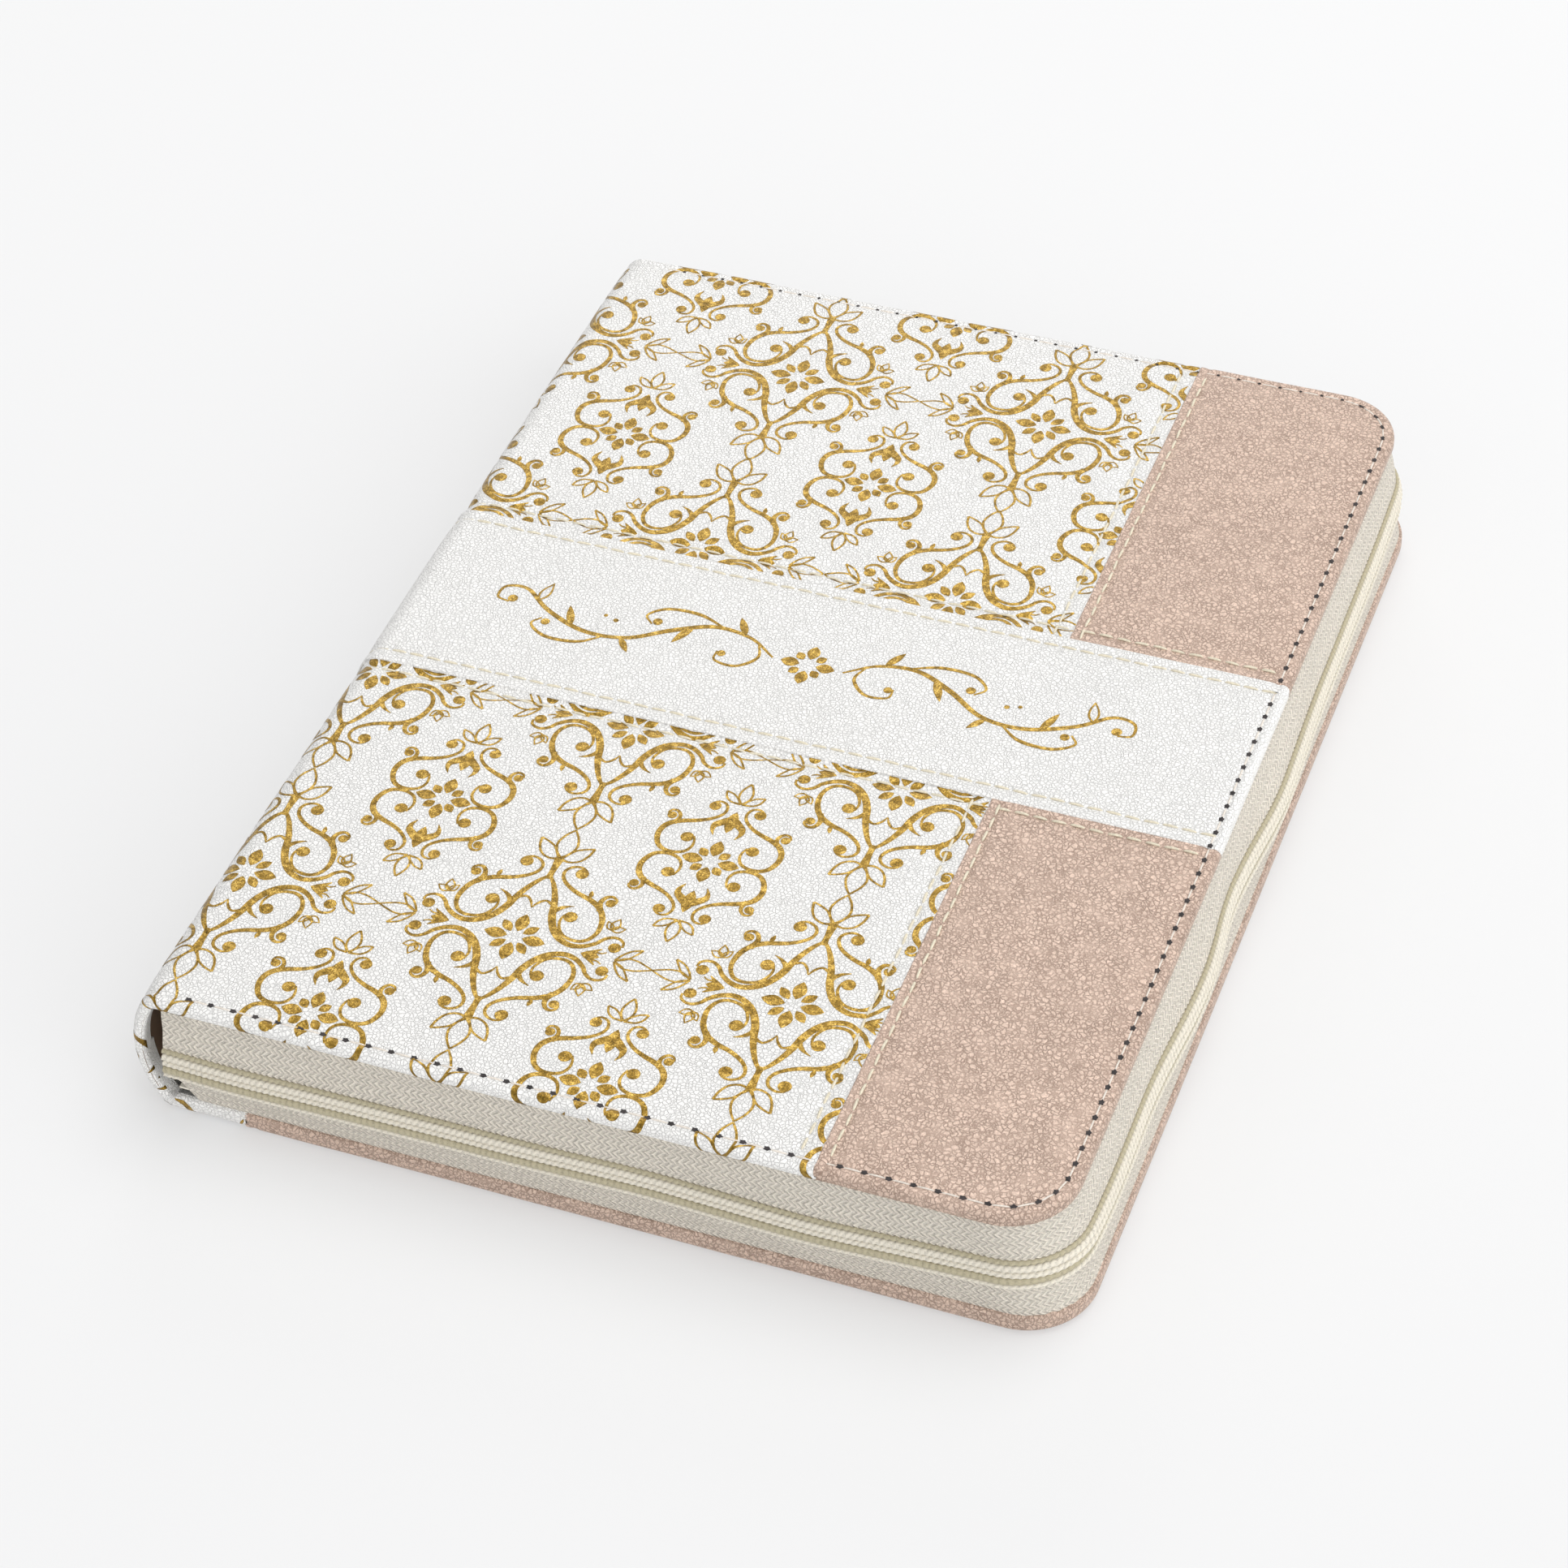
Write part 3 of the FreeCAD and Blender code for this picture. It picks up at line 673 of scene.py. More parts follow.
def large_medallion():
    q = Motif()
    q.stroke([(0, 15.6), (0.35, 14.7), (1.2, 13.6), (2.2, 11.8), (3.0, 9.9), (3.5, 8.3), (4.0, 6.4),
              (4.9, 4.4), (6.1, 2.75), (7.6, 1.65), (9.6, 1.1), (11.6, 1.6), (13.3, 2.85), (14.2, 4.1),
              (15.4, 4.9), (16.6, 4.9), (17.6, 4.2), (17.75, 3.2)], [0.5, 0.9, 1.15, 1.35, 1.3, 1.15, 1.0,
              0.8, 0.6, 0.45])
    q.ball(16.6, 2.75, 1.1)
    q.stroke([(5.9, 7.3), (5.65, 6.0), (5.9, 4.8), (6.7, 3.4), (8.1, 2.5), (10.1, 2.3), (11.6, 3.1),
              (12.5, 4.9), (12.5, 6.9), (11.9, 8.9), (10.6, 10.6), (8.6, 11.8), (6.1, 12.6), (4.1, 13.6),
              (2.6, 14.9), (2.0, 16.4), (2.5, 17.7), (3.9, 18.4), (5.2, 18.1), (5.9, 17.3)], [0.4, 0.6,
              0.65, 0.8, 1.05, 1.05, 0.85, 0.7, 0.55, 0.4])
    q.ball(7.0, 7.1, 1.2)
    q.ball(5.0, 17.0, 1.15)
    q.stroke([(11.1, 9.9), (10.5, 11.2), (10.5, 12.3), (11.1, 13.3), (12.1, 13.55), (12.9, 12.9),
              (12.9, 12.2)], [1.2, 0.9, 0.6, 0.4])
    q.ball(12.1, 12.1, 0.9)
    q.leaf((8.4, 12.2), (8.1, 13.9), 0.85)
    q.stroke([(3.7, 6.9), (4.3, 8.1), (5.3, 9.0), (6.6, 9.6)], [1.1, 0.8, 0.15])
    q.stroke([(3.1, 8.8), (1.7, 9.35), (0.6, 8.4), (0, 7.1)], [0.7, 0.45, 0.5, 0.2])
    q.petal((14.6, 6.4), (15.1, 9.2), 1.5, 0.3)
    q.petal((14.6, 6.4), (16.8, 7.3), 1.3, 0.28)
    q.petal((14.6, 6.4), (13.3, 8.2), 1.1, 0.28)
    q.stroke([(0.2, 19.2), (1.8, 18.9), (3.4, 19.6), (4.4, 21.2), (4.8, 23.1)], [0.5, 0.4, 0.45, 0.5])
    q.stroke([(0.4, 19.5), (1.1, 20.6), (2.0, 21.8), (3.4, 22.6), (4.8, 23.1)], [0.5, 0.38, 0.4, 0.35])
    q.stroke([(0, 19.4), (1.1, 20.7), (1.75, 22.6), (1.2, 24.6), (0, 26.4)], [0.55, 0.42, 0.45, 0.42, 0.35])
    q.stroke([(17.7, 0.1), (18.4, 1.5), (19.7, 2.9), (21.4, 3.6)], [0.45, 0.38, 0.35, 0.4])
    q.stroke([(17.8, 0.2), (19.4, 0.9), (20.5, 2.2), (21.4, 3.6)], [0.45, 0.38, 0.35, 0.4])
    q.stroke([(17.7, 0), (19.4, 1.1), (21.2, 1.15), (22.9, 0.6), (24.3, 0)], [0.45, 0.36, 0.36, 0.34, 0.3])
    made = q.copied(*FOUR)
    ends = Motif()
    ends.stroke([(0, 14.2), (0, 16.0), (0, 17.6), (0, 19.4)], [1.3, 1.0, 1.25, 1.7])
    made.put(ends.copied(*ENDS))
    sideways = Motif()
    sideways.leaf((11.7, 0), (15.0, 0), 1.9, 0.5)
    sideways.stroke([(12.6, 0.3), (13.6, 0.9), (14.8, 1.9)], [0.9, 0.75, 0.2])
    sideways.stroke([(12.6, -0.3), (13.6, -0.9), (14.8, -1.9)], [0.9, 0.75, 0.2])
    sideways.stroke([(13.4, 1.0), (14.9, 0.9), (15.8, 1.4)], [0.5, 0.35, 0.2])
    sideways.stroke([(13.4, -1.0), (14.9, -0.9), (15.8, -1.4)], [0.5, 0.35, 0.2])
    made.put(sideways.copied(*SIDES))
    made.put(flower(5.4, 4.5))
    return made


def small_medallion():
    q = Motif()
    q.stroke([(4.8, 4.9), (4.35, 3.8), (4.3, 2.4), (5.1, 1.0), (6.8, 0.3), (8.7, 0.5), (10.0, 1.5),
              (10.8, 3.5), (10.6, 5.5), (9.5, 7.0), (7.8, 7.9), (5.8, 8.6), (3.8, 9.6), (2.3, 11.0),
              (1.8, 12.4), (2.3, 13.8), (3.6, 14.2), (4.7, 13.5)], [0.4, 0.6, 0.8, 1.0, 1.1, 0.95, 0.7,
              0.55, 0.4])
    q.ball(5.85, 4.4, 1.15)
    q.ball(4.05, 12.9, 1.05)
    q.stroke([(9.3, 6.9), (8.8, 8.0), (8.9, 9.1), (9.7, 9.9), (10.7, 9.7), (11.0, 8.9)],
             [1.1, 0.75, 0.55, 0.4])
    q.ball(10.2, 8.6, 0.85)
    q.stroke([(0.1, 10.6), (1.3, 9.6), (2.4, 8.6), (2.5, 7.4), (1.9, 6.1)], [1.5, 1.6, 1.3, 0.8, 0.12])
    q.stroke([(0.1, 14.5), (1.9, 14.7), (3.0, 15.6), (3.5, 17.0)], [0.5, 0.38, 0.4, 0.4])
    q.stroke([(0.3, 14.7), (1.0, 15.7), (2.1, 16.6), (3.5, 17.0)], [0.45, 0.36, 0.36, 0.35])
    q.stroke([(0, 14.5), (0.9, 15.8), (1.1, 17.2), (0.7, 18.5), (0, 19.7)], [0.5, 0.4, 0.42, 0.4, 0.4])
    made = q.copied(*FOUR)
    ends = Motif()
    ends.leaf((0, 12.6), (0, 7.2), 2.2, 0.5)
    made.put(ends.copied(*ENDS))
    made.put(flower(5.1, 3.8))
    return made


def divider():
    """A plain scrolled divider for the title band."""
    q = Motif()
    q.stroke([(6.5, 0), (12, 3.6), (19, 4.4), (26, 1.2), (33, -3.2), (41, -3.8), (49, -0.6), (54.5, 3.6),
              (58.5, 3.2), (59, 0.2), (56.6, -0.6)], [0.4, 0.9, 1.1, 0.9, 1.0, 0.8, 0.4])
    q.ball(56.2, 0.4, 0.95)
    q.stroke([(17, 4.5), (22.5, 6.6), (28.5, 6.4), (31.6, 3.8), (30.0, 1.7)], [0.35, 0.8, 0.7, 0.35])
    q.ball(29.2, 2.6, 0.9)
    q.stroke([(37, -4.1), (41, -6.9), (46.8, -7.3), (50.4, -5.0), (49.2, -2.9)], [0.35, 0.8, 0.7, 0.35])
    q.ball(48.2, -3.7, 0.85)
    q.stroke([(10, 2.6), (9.0, -1.0), (12.0, -4.2), (16.0, -3.8), (16.4, -1.4)], [0.35, 0.7, 0.6, 0.35])
    q.ball(15.5, -1.8, 0.8)
    q.leaf((22.5, 3.6), (25.0, -1.9), 1.6)
    q.leaf((13.0, 4.0), (15.4, 8.2), 1.5)
    q.leaf((43.5, -3.4), (45.6, 1.8), 1.5)
    q.leaf((34.0, -3.4), (31.4, -6.8), 1.3)
    q.petal((51.6, 1.4), (50.6, 6.4), 1.7, 0.35)
    q.ball(36.4, 0.6, 0.5)
    q.ball(38.6, 1.3, 0.4)
    made = q.copied(*SIDES)
    made.put(flower(5.0, 3.8, 1.5))
    return made


def lattice(end):
    """The half-drop repeat of the damask, over one end of the wrap."""
    big, small = large_medallion(), small_medallion()
    made = Motif()
    if end == "tail":
        big_at, small_at, across, along = (53.4, -74.75), (28.9, -48.25), 48.6, 53.0
    else:
        big_at, small_at, across, along = (45.6, 27.3), (20.8, 53.3), 48.75, 52.2
    for i in range(-3, 4):
        for j in range(-2, 4):
            for motif, (x, y), reach in ((big, big_at, 27), (small, small_at, 20)):
                px, py = x + across * i, y + along * j
                inside = (TAIL - reach < py < BAND_TAIL + reach) if end == "tail" else (
                    BAND_HEAD - reach < py < HEAD + reach)
                if inside and 2 * MIDDLE - WRAP_U - reach < px < PANEL_U + reach:
                    made.put(motif, px, py)
    return made


def flat_foil(name, motif):
    mesh = bpy.data.meshes.new(name)
    mesh.from_pydata([tuple(c * 0.001 for c in p) for p in motif.points], [], motif.faces)
    obj = bpy.data.objects.new(name, mesh)
    bpy.context.scene.collection.objects.link(obj)
    return obj


def cut(axis, at, keep=None):
    """Cuts a flat foil straight across; keep "above" or "below" clears the other side."""
    normal = Vector((1, 0, 0)) if axis == 0 else Vector((0, 1, 0))
    place = normal * at * 0.001
    bpy.ops.mesh.select_all(action="SELECT")
    bpy.ops.mesh.bisect(plane_co=place, plane_no=normal,
                        clear_inner=keep == "above", clear_outer=keep == "below")


def drape_foil(obj, piece, side, u_range, v_range):
    """Trims the foil to its piece of leather, cuts it along the lines where that bends, and lays it."""
    mirror = side == "back"
    r = sizes().edge_radius
    alone(obj)
    bpy.ops.object.mode_set(mode="EDIT")
    low, high = (2 * MIDDLE - u_range[1], 2 * MIDDLE - u_range[0]) if mirror else u_range
    cut(0, low, "above")
    cut(0, high, "below")
    cut(1, v_range[0], "above")
    cut(1, v_range[1], "below")
    bends = spine_lines()
    for u in (2 * MIDDLE - bends if mirror else bends):
        if low < u < high:
            cut(0, u)
    turned = np.concatenate([[0], turned_lines(DROP[side])])
    for start, sign in ((SKIN_TAIL + r, -1), (SKIN_HEAD - r, 1)):
        for t in turned:
            if v_range[0] < start + sign * t < v_range[1]:
                cut(1, start + sign * t)
    for row in (*SKIN_ROWS, TAIL + EDGE_ROW, HEAD - EDGE_ROW, *BAND_ROWS):
        for k in range(-3, 4):
            at = row + 0.4 * k
            if v_range[0] < at < v_range[1]:
                cut(1, at)
    bpy.ops.object.mode_set(mode="OBJECT")
    co = read(obj)
    u = 2 * MIDDLE - co[:, 0] if mirror else co[:, 0]
    lift = sizes().foil_lift + 0.005 * co[:, 2]
    write(obj, lay(u, co[:, 1], piece, side, lift=lift))
    lay_uv(obj, co[:, :2])
    return obj


# ---- stitches ----

def stitch_shape():
    """One stitch: a rounded thread that dips at both ends. Runs from x -0.5 to 0.5."""
    bpy.ops.object.select_all(action="DESELECT")
    bpy.ops.mesh.primitive_cylinder_add(vertices=7, radius=1, depth=1, end_fill_type="TRIFAN")
    obj = bpy.context.object
    for z in (0.3, -0.3, 0.0, 0.42, -0.42):
        edit(obj, lambda z=z: bpy.ops.mesh.bisect(plane_co=(0, 0, z), plane_no=(0, 0, 1)))
    co = read(obj) / 1000
    along = co[:, 2]
    round_off = np.sqrt(np.clip(1 - (2 * np.abs(along)) ** 4, 0.05, 1))
    shape = np.stack([along, co[:, 0] * round_off, co[:, 1] * round_off], 1)
    faces = [tuple(p.vertices) for p in obj.data.polygons]
    bpy.data.objects.remove(obj)
    return shape, faces


def copies(name, shape, faces, places, ahead, across, up, bend=None):
    """Copies of one small shape in one mesh; shape's x, y, z follow ahead, across and up."""
    n, k = len(places), len(shape)
    points = (places[:, None, :] + shape[None, :, 0, None] * ahead[:, None, :]
              + shape[None, :, 1, None] * across[:, None, :] + shape[None, :, 2, None] * up[:, None, :])
    if bend is not None:
        points += (bend(shape[:, 0])[None, :, None]) * (up / np.linalg.norm(up, axis=1)[:, None])[:, None, :]
    mesh = bpy.data.meshes.new(name)
    all_faces = [tuple(v + c * k for v in f) for c in range(n) for f in faces]
    mesh.from_pydata([tuple(p) for p in points.reshape(-1, 3) * 0.001], [], all_faces)
    obj = bpy.data.objects.new(name, mesh)
    bpy.context.scene.collection.objects.link(obj)
    edit(obj, consistent)
    smooth(obj)
    return obj


def row_frames(flat, piece, side, lift):
    """Places along a row, the way to the next one, the way across and the way up."""
    place = lay(flat[:, 0], flat[:, 1], piece, side, lift=lift)
    ahead = place[1:] - place[:-1]
    middle = (place[1:] + place[:-1]) / 2
    u, v = ((flat[1:] + flat[:-1]) / 2).T
    e = 0.05
    du = lay(u + e, v, piece, side) - lay(u - e, v, piece, side)
    dv = lay(u, v + e, piece, side) - lay(u, v - e, piece, side)
    up = np.cross(du, dv) * (1 if side == "front" else -1)
    up /= np.linalg.norm(up, axis=1)[:, None]
    across = np.cross(up, ahead)
    across /= np.linalg.norm(across, axis=1)[:, None]
    return place, middle, ahead, across, up


def edge_line(side):
    """The needle places of the edge row: close along the fore-edge, wider along tail and head."""
    s = sizes()
    row = outline_row(side, EDGE_ROW, 8.7)
    tail, fore, head = row[:14], row[13:-13], row[-14:]
    parts = [even(tail, s.stitch), even(fore, s.fore_stitch), even(head, s.stitch)]
    return np.vstack([parts[0][:-1], parts[1][:-1], parts[2]])


def even(points, pitch):
    """Points evenly spaced along a flat line."""
    p = np.array(points, float)
    d = np.concatenate([[0], np.cumsum(np.hypot(*(p[1:] - p[:-1]).T))])
    n = max(2, int(round(d[-1] / pitch)))
    s = np.linspace(0, d[-1], n + 1)
    return np.stack([np.interp(s, d, p[:, 0]), np.interp(s, d, p[:, 1])], 1)


def thread_rows(name, rows, radius, lift, fill, wander=0.0):
    """Threads along rows of (flat points, piece, side). fill: share of the pitch that a thread takes."""
    shape, faces = stitch_shape()
    parts = []
    for flat, piece, side in rows:
        flat = flat.copy()
        if wander:
            k = np.arange(len(flat))
            ahead = np.gradient(flat, axis=0)
            ahead /= np.hypot(*ahead.T)[:, None]
            aside = np.stack([-ahead[:, 1], ahead[:, 0]], 1)
            flat += aside * (wander * np.sin(k * 2.1 + flat[0, 0]))[:, None]
        parts.append(row_frames(flat, piece, side, lift)[1:])
    middle, ahead, across, up = (np.vstack([p[k] for p in parts]) for k in range(4))
    return copies(name, shape, faces, middle, ahead * fill, across * radius, up * radius,
                  bend=lambda x: 0.16 * (1 - (2 * np.abs(x)) ** 2.5) - 0.1)


def hole_rows(name, rows, length, width):
    """Needle holes along rows: small shallow pits painted near black as the shade inside each hole, drawn a
    little irregular, tighter along the head.
    """
    ring = np.array([(math.cos(a), math.sin(a)) for a in np.linspace(0, 2 * math.pi, 11)[:-1]])
    ring[::2] *= 1.22
    ring[1::2] *= 0.78
    shape = np.vstack([[0, 0, -0.05], np.column_stack([ring, np.zeros(10)])])
    faces = [(0, k + 1, (k + 1) % 10 + 1) for k in range(10)]
    parts = []
    for flat, piece, side in rows:
        place, _, ahead, across, up = row_frames(flat, piece, side, 0.1)
        ahead = ahead / np.linalg.norm(ahead, axis=1)[:, None]
        tight = np.where(flat[:-1, 1] > HEAD - EDGE_ROW - 0.5, 0.6, 1.0)[:, None]
        parts.append((place[:-1], ahead * length / 2 * tight, across * width / 2 * tight, up))
    places, ahead, across, up = (np.vstack([p[k] for p in parts]) for k in range(4))
    return copies(name, shape, faces, places, ahead, across, up)


def outline_row(side, inset, start):
    """The edge row of one cover as a flat line, from the spine round the three open sides."""
    fore = FORE_U[side]
    r = CORNER_R - inset
    low, high = TAIL + CORNER_R, HEAD - CORNER_R
    turn_by = np.linspace(-math.pi / 2, 0, 25)
    tail = np.stack([fore - CORNER_R + r * np.cos(turn_by), low + r * np.sin(turn_by)], 1)
    head = np.stack([tail[::-1, 0], high + (low - tail[::-1, 1])], 1)
    return np.vstack([[start, TAIL + inset], tail, head, [start, HEAD - inset]])


def piece_at(u, v, side):
    seam = SEAM_U[side]
    if BAND_TAIL < v < BAND_HEAD and (side == "front" or u < seam):
        return "band"
    return "panel" if u > seam else "pattern"


def split_by_piece(flat, side):
    """A flat row cut where it goes from one piece of leather to another."""
    kinds = [piece_at(u, v, side) for u, v in (flat[1:] + flat[:-1]) / 2]
    found, start = [], 0
    for k in range(1, len(kinds) + 1):
        if k == len(kinds) or kinds[k] != kinds[start]:
            found.append((flat[start:k + 1], kinds[start], side))
            start = k
    return found


def band_seams(side):
    """Seam rows over the fold: along the band's edges, and in the patterned leather beside them."""
    pitch = sizes().seam_stitch
    stop = FORE_U[side] - 1.4 if side == "front" else WRAP_U - 0.5
    rows = [(even([(MIDDLE, v), (stop, v)], pitch), "band", side) for v in BAND_ROWS]
    return rows + [(even([(MIDDLE, v), (SEAM_U[side] - 0.6, v)], pitch), "pattern", side) for v in SKIN_ROWS]


def panel_seams(side):
    """Seam rows on the flat: in the panels, and on both sides of their seam with the pattern."""
    pitch = sizes().seam_stitch
    if side == "back":
        return [(even([(WRAP_ROW, TAIL + 3.2), (WRAP_ROW, HEAD - 3.2)], pitch), "panel", side)]
    rows = [(even([(PANEL_U + 1.0, v), (FORE_U[side] - 3.0, v)], pitch), "panel", side) for v in SKIN_ROWS]
    for a, b in ((TAIL + 3.2, BAND_TAIL - 0.4), (BAND_HEAD + 0.4, HEAD - 3.2)):
        for row, piece in ((PANEL_ROW, "panel"), (PATTERN_ROW, "pattern")):
            rows.append((even([(row, a), (row, b)], pitch), piece, side))
    return rows


# ---- zip ----

def rim(leg, share, x_fore, inset, back_off=0.0):
    """Place and outward direction on an outline of the zip: tail run, corner, fore-edge, corner, head run.

    back_off: how much later the tail run starts.
    """
    cx = x_fore + TAPE_INSET - CORNER_R
    low = TAIL + CORNER_R
    out = np.zeros((len(leg), 2))
    n = np.zeros((len(leg), 2))
    reach = CORNER_R - inset
    for k, (g, f) in enumerate(zip(leg, share)):
        if g == 0:
            n[k] = (0, -1)
            out[k] = (TAPE_X + back_off + (cx - TAPE_X - back_off) * f, low)
        elif g == 1:
            a = -math.pi / 2 + f * math.pi / 2
            n[k] = (math.cos(a), math.sin(a))
            out[k] = (cx, low)
        elif g == 2:
            n[k] = (1, 0)
            out[k] = (cx, low - 2 * low * f)
        elif g == 3:
            a = f * math.pi / 2
            n[k] = (math.cos(a), math.sin(a))
            out[k] = (cx, -low)
        else:
            n[k] = (0, 1)
            out[k] = (cx + (TAPE_X - cx) * f, -low)
    return out + n * reach, n


def stations(step, last_leg=4):
    """Stations along the zip: leg, share of the leg, and distance from the tail end."""
    r = CORNER_R - TAPE_INSET
    run = CHAIN_X + TAPE_INSET - CORNER_R - TAPE_X
    lengths = [run, r * math.pi / 2, 2 * (HEAD - CORNER_R), r * math.pi / 2, run]
    legs, shares, distance, gone = [], [], [], 0.0
    for g in range(last_leg + 1):
        n = max(4, int(lengths[g] / step))
        for k in range(n + (1 if g == last_leg else 0)):
            legs.append(g)
            shares.append(k / n)
            distance.append(gone + lengths[g] * k / n)
        gone += lengths[g]
    return np.array(legs), np.array(shares), np.array(distance)


ZIP_TOP = {side: Z_PATTERN - drop + 0.15 for side, drop in DROP.items()}     # where each tape starts
CHAIN_Z = 15.5                # where the front tape meets the chain; the back one mirrors it
CHAIN_BACK = 0.25             # how far the chain's middle lies behind the tape's face
SLIDER_RUN, FADE = 372, 25    # the zip lies flat for the slider from here on, and fades to it over this
SLANT, SLANT_FROM = 0.55, 16.0
# how far the closed zip stands out, and at which distances along it
BULGE_AT = [0, 12, 29, 45, 63, 85, 113, 135, 150, 168, 192,
            213, 223, 234, 244, 262, 290, 330, 365, 385, 520]
BULGE = [2.0, 2.5, 2.1, 1.9, 1.8, 1.2, 2.1, 1.0, 0.3, 1.2, 0.8,
         2.4, 2.2, 0.7, 0.9, 2.6, 1.6, 1.3, 0.3, 0.0, 0.0]


def loose(distance):
    """1 where the zip runs freely, 0 where it lies flat for the slider."""
    return np.clip((SLIDER_RUN - distance) / FADE, 0, 1)


def bulge(distance):
    """How far the closed zip stands out along its run, smoothed."""
    offsets = np.linspace(-6, 6, 13)
    table = np.interp(distance[:, None] + offsets[None, :], BULGE_AT, BULGE)
    return table.mean(1) * loose(distance)


def zip_point(leg, share, distance, side, z, extra=0.0, slant=0.0):
    """A point of the zip wall: on the cover's edge where the tape starts, out on the chain at CHAIN_Z."""
    f = np.clip((ZIP_TOP[side] - z) / (ZIP_TOP[side] - CHAIN_Z), -0.2, 1.4)
    f = np.broadcast_to(f, (len(leg),))
    top, n = rim(leg, share, FORE[side] - TAPE_INSET, TAPE_TOP_INSET, slant)
    low, _ = rim(leg, share, CHAIN_X, TAPE_INSET, slant)
    on_wall = np.clip(f, 0, 1)
    wavy = 0.12 * np.sin(distance / 6.0 + 9 * f) * np.sin(math.pi * on_wall) * loose(distance)
    xy = top + (low - top) * f[:, None] + n * (bulge(distance) * on_wall ** 1.3 + wavy + extra)[:, None]
    return xy, n


def tape_sheet(name, side):
    """One woven tape: from under the turned leather down to the chain, with its sewn-in flange."""
    leg, share, distance = stations(1.4)

    def column(z, inwards=0.0):
        slant = SLANT * max(0.0, z - SLANT_FROM) if side == "back" else 0.0
        xy, n = zip_point(leg, share, distance, side, z, slant=slant)
        return np.column_stack([xy - n * inwards, np.full(len(leg), z)])

    def grid(columns, across, part):
        points = np.stack(columns, 1)
        flat = np.stack([np.repeat(distance[:, None], len(columns), 1),
                         np.repeat(np.array(across)[None], len(leg), 0)], -1)
        if side == "back":
            points[..., 2] = 2 * Z_MID - points[..., 2]
        return cloth_grid(name + part, points, flat)

    heights = np.linspace(ZIP_TOP[side], CHAIN_Z, 16)
    wall = grid([column(z) for z in heights], ZIP_TOP[side] - heights, "")
    total = sum(p.area * (p.normal.x * p.center.x + p.normal.y * p.center.y) for p in wall.data.polygons)
    if total < 0:
        edit(wall, bpy.ops.mesh.flip_normals)
    inward = (0.42, 1.6, 3.0, 4.6)
    flange = grid([column(Z_FLANGE - 0.03, i) for i in inward], inward, "_flange")
    upward(flange, 1 if side == "front" else -1)
    for sheet in (wall, flange):
        modifier(sheet, "SOLIDIFY", thickness=0.00042, offset=-1.0, use_even_offset=False)
    return join(name, wall, flange)


def chain_line(z, side, step, last_leg):
    """A line along the middle of the chain at height z."""
    leg, share, distance = stations(step, last_leg)
    upper = z if side == "front" else 2 * Z_MID - z
    xy, n = zip_point(leg, share, distance, side, upper, extra=-CHAIN_BACK)
    return np.column_stack([xy, np.full(len(xy), z)]), n, distance


FLAT_OUT, FLAT_WIDE = 0.1, 0.75      # how far out and how wide a cord may be where the slider passes


def close_ends():
    bpy.ops.mesh.select_all(action="DESELECT")
    bpy.ops.mesh.select_non_manifold()
    bpy.ops.mesh.fill_holes(sides=12)
    bpy.ops.mesh.select_all(action="SELECT")


def cord(name, z, side, outward, wide, tall, twist, depth, last_leg):
    """A cord of the chain: a swept ellipse whose plies wind by twist and stand up by depth.

    It lies flat on the head run, where the slider passes.
    """
    pitch = sizes().cord_pitch
    line, n, distance = chain_line(z, side, pitch / 5, last_leg)
    free = loose(distance)[:, None]
    narrow = min(wide, FLAT_WIDE)
    wide_at = narrow + (wide - narrow) * free
    line[:, :2] += n * (FLAT_OUT + (outward - FLAT_OUT) * free)
    around = np.linspace(0, 2 * math.pi, 9)
    swell = 1 + depth * np.cos(2 * math.pi * distance[:, None] / pitch - twist * around[None, :])
    a = wide_at * np.cos(around)[None, :] * swell
    b = tall * np.sin(around)[None, :] * swell
    points = line[:, None, :] + np.concatenate([n[:, None, :] * a[..., None], b[..., None]], 2)
    flat = np.stack([np.repeat(distance[:, None], 9, 1),
                     np.repeat(around[None] * wide, len(distance), 0)], -1)
    shape = cloth_grid(name, points, flat)
    edit(shape, merge, close_ends, consistent)
    smooth(shape)
    return shape


# ---- materials ----

class Nodes:
    """The nodes of a material or of the sky. Each step gives the output that the next one takes."""

    def __init__(self, tree):
        self.tree = tree
        tree.nodes.clear()

    def node(self, kind, inputs=None, **settings):
        """A new node; an input that is given another node's output is linked to it."""
        made = self.tree.nodes.new(kind)
        for key, value in settings.items():
            setattr(made, key, value)
        for key, value in (inputs or {}).items():
            if isinstance(value, bpy.types.NodeSocket):
                self.tree.links.new(value, made.inputs[key])
            else:
                made.inputs[key].default_value = value
        return made

    def math(self, operation, *values):
        return self.node("ShaderNodeMath", dict(enumerate(values)), operation=operation).outputs["Value"]

    def mix(self, share, first, second):
        return self.node("ShaderNodeMixShader", {0: share, 1: first, 2: second}).outputs["Shader"]

    def seen(self):
        """1 for what the camera sees, straight on or in something that mirrors or lets through."""
        rays = self.node("ShaderNodeLightPath").outputs
        mirrored = self.math("MAXIMUM", rays["Is Glossy Ray"], rays["Is Transmission Ray"])
        return self.math("MAXIMUM", rays["Is Camera Ray"], mirrored)


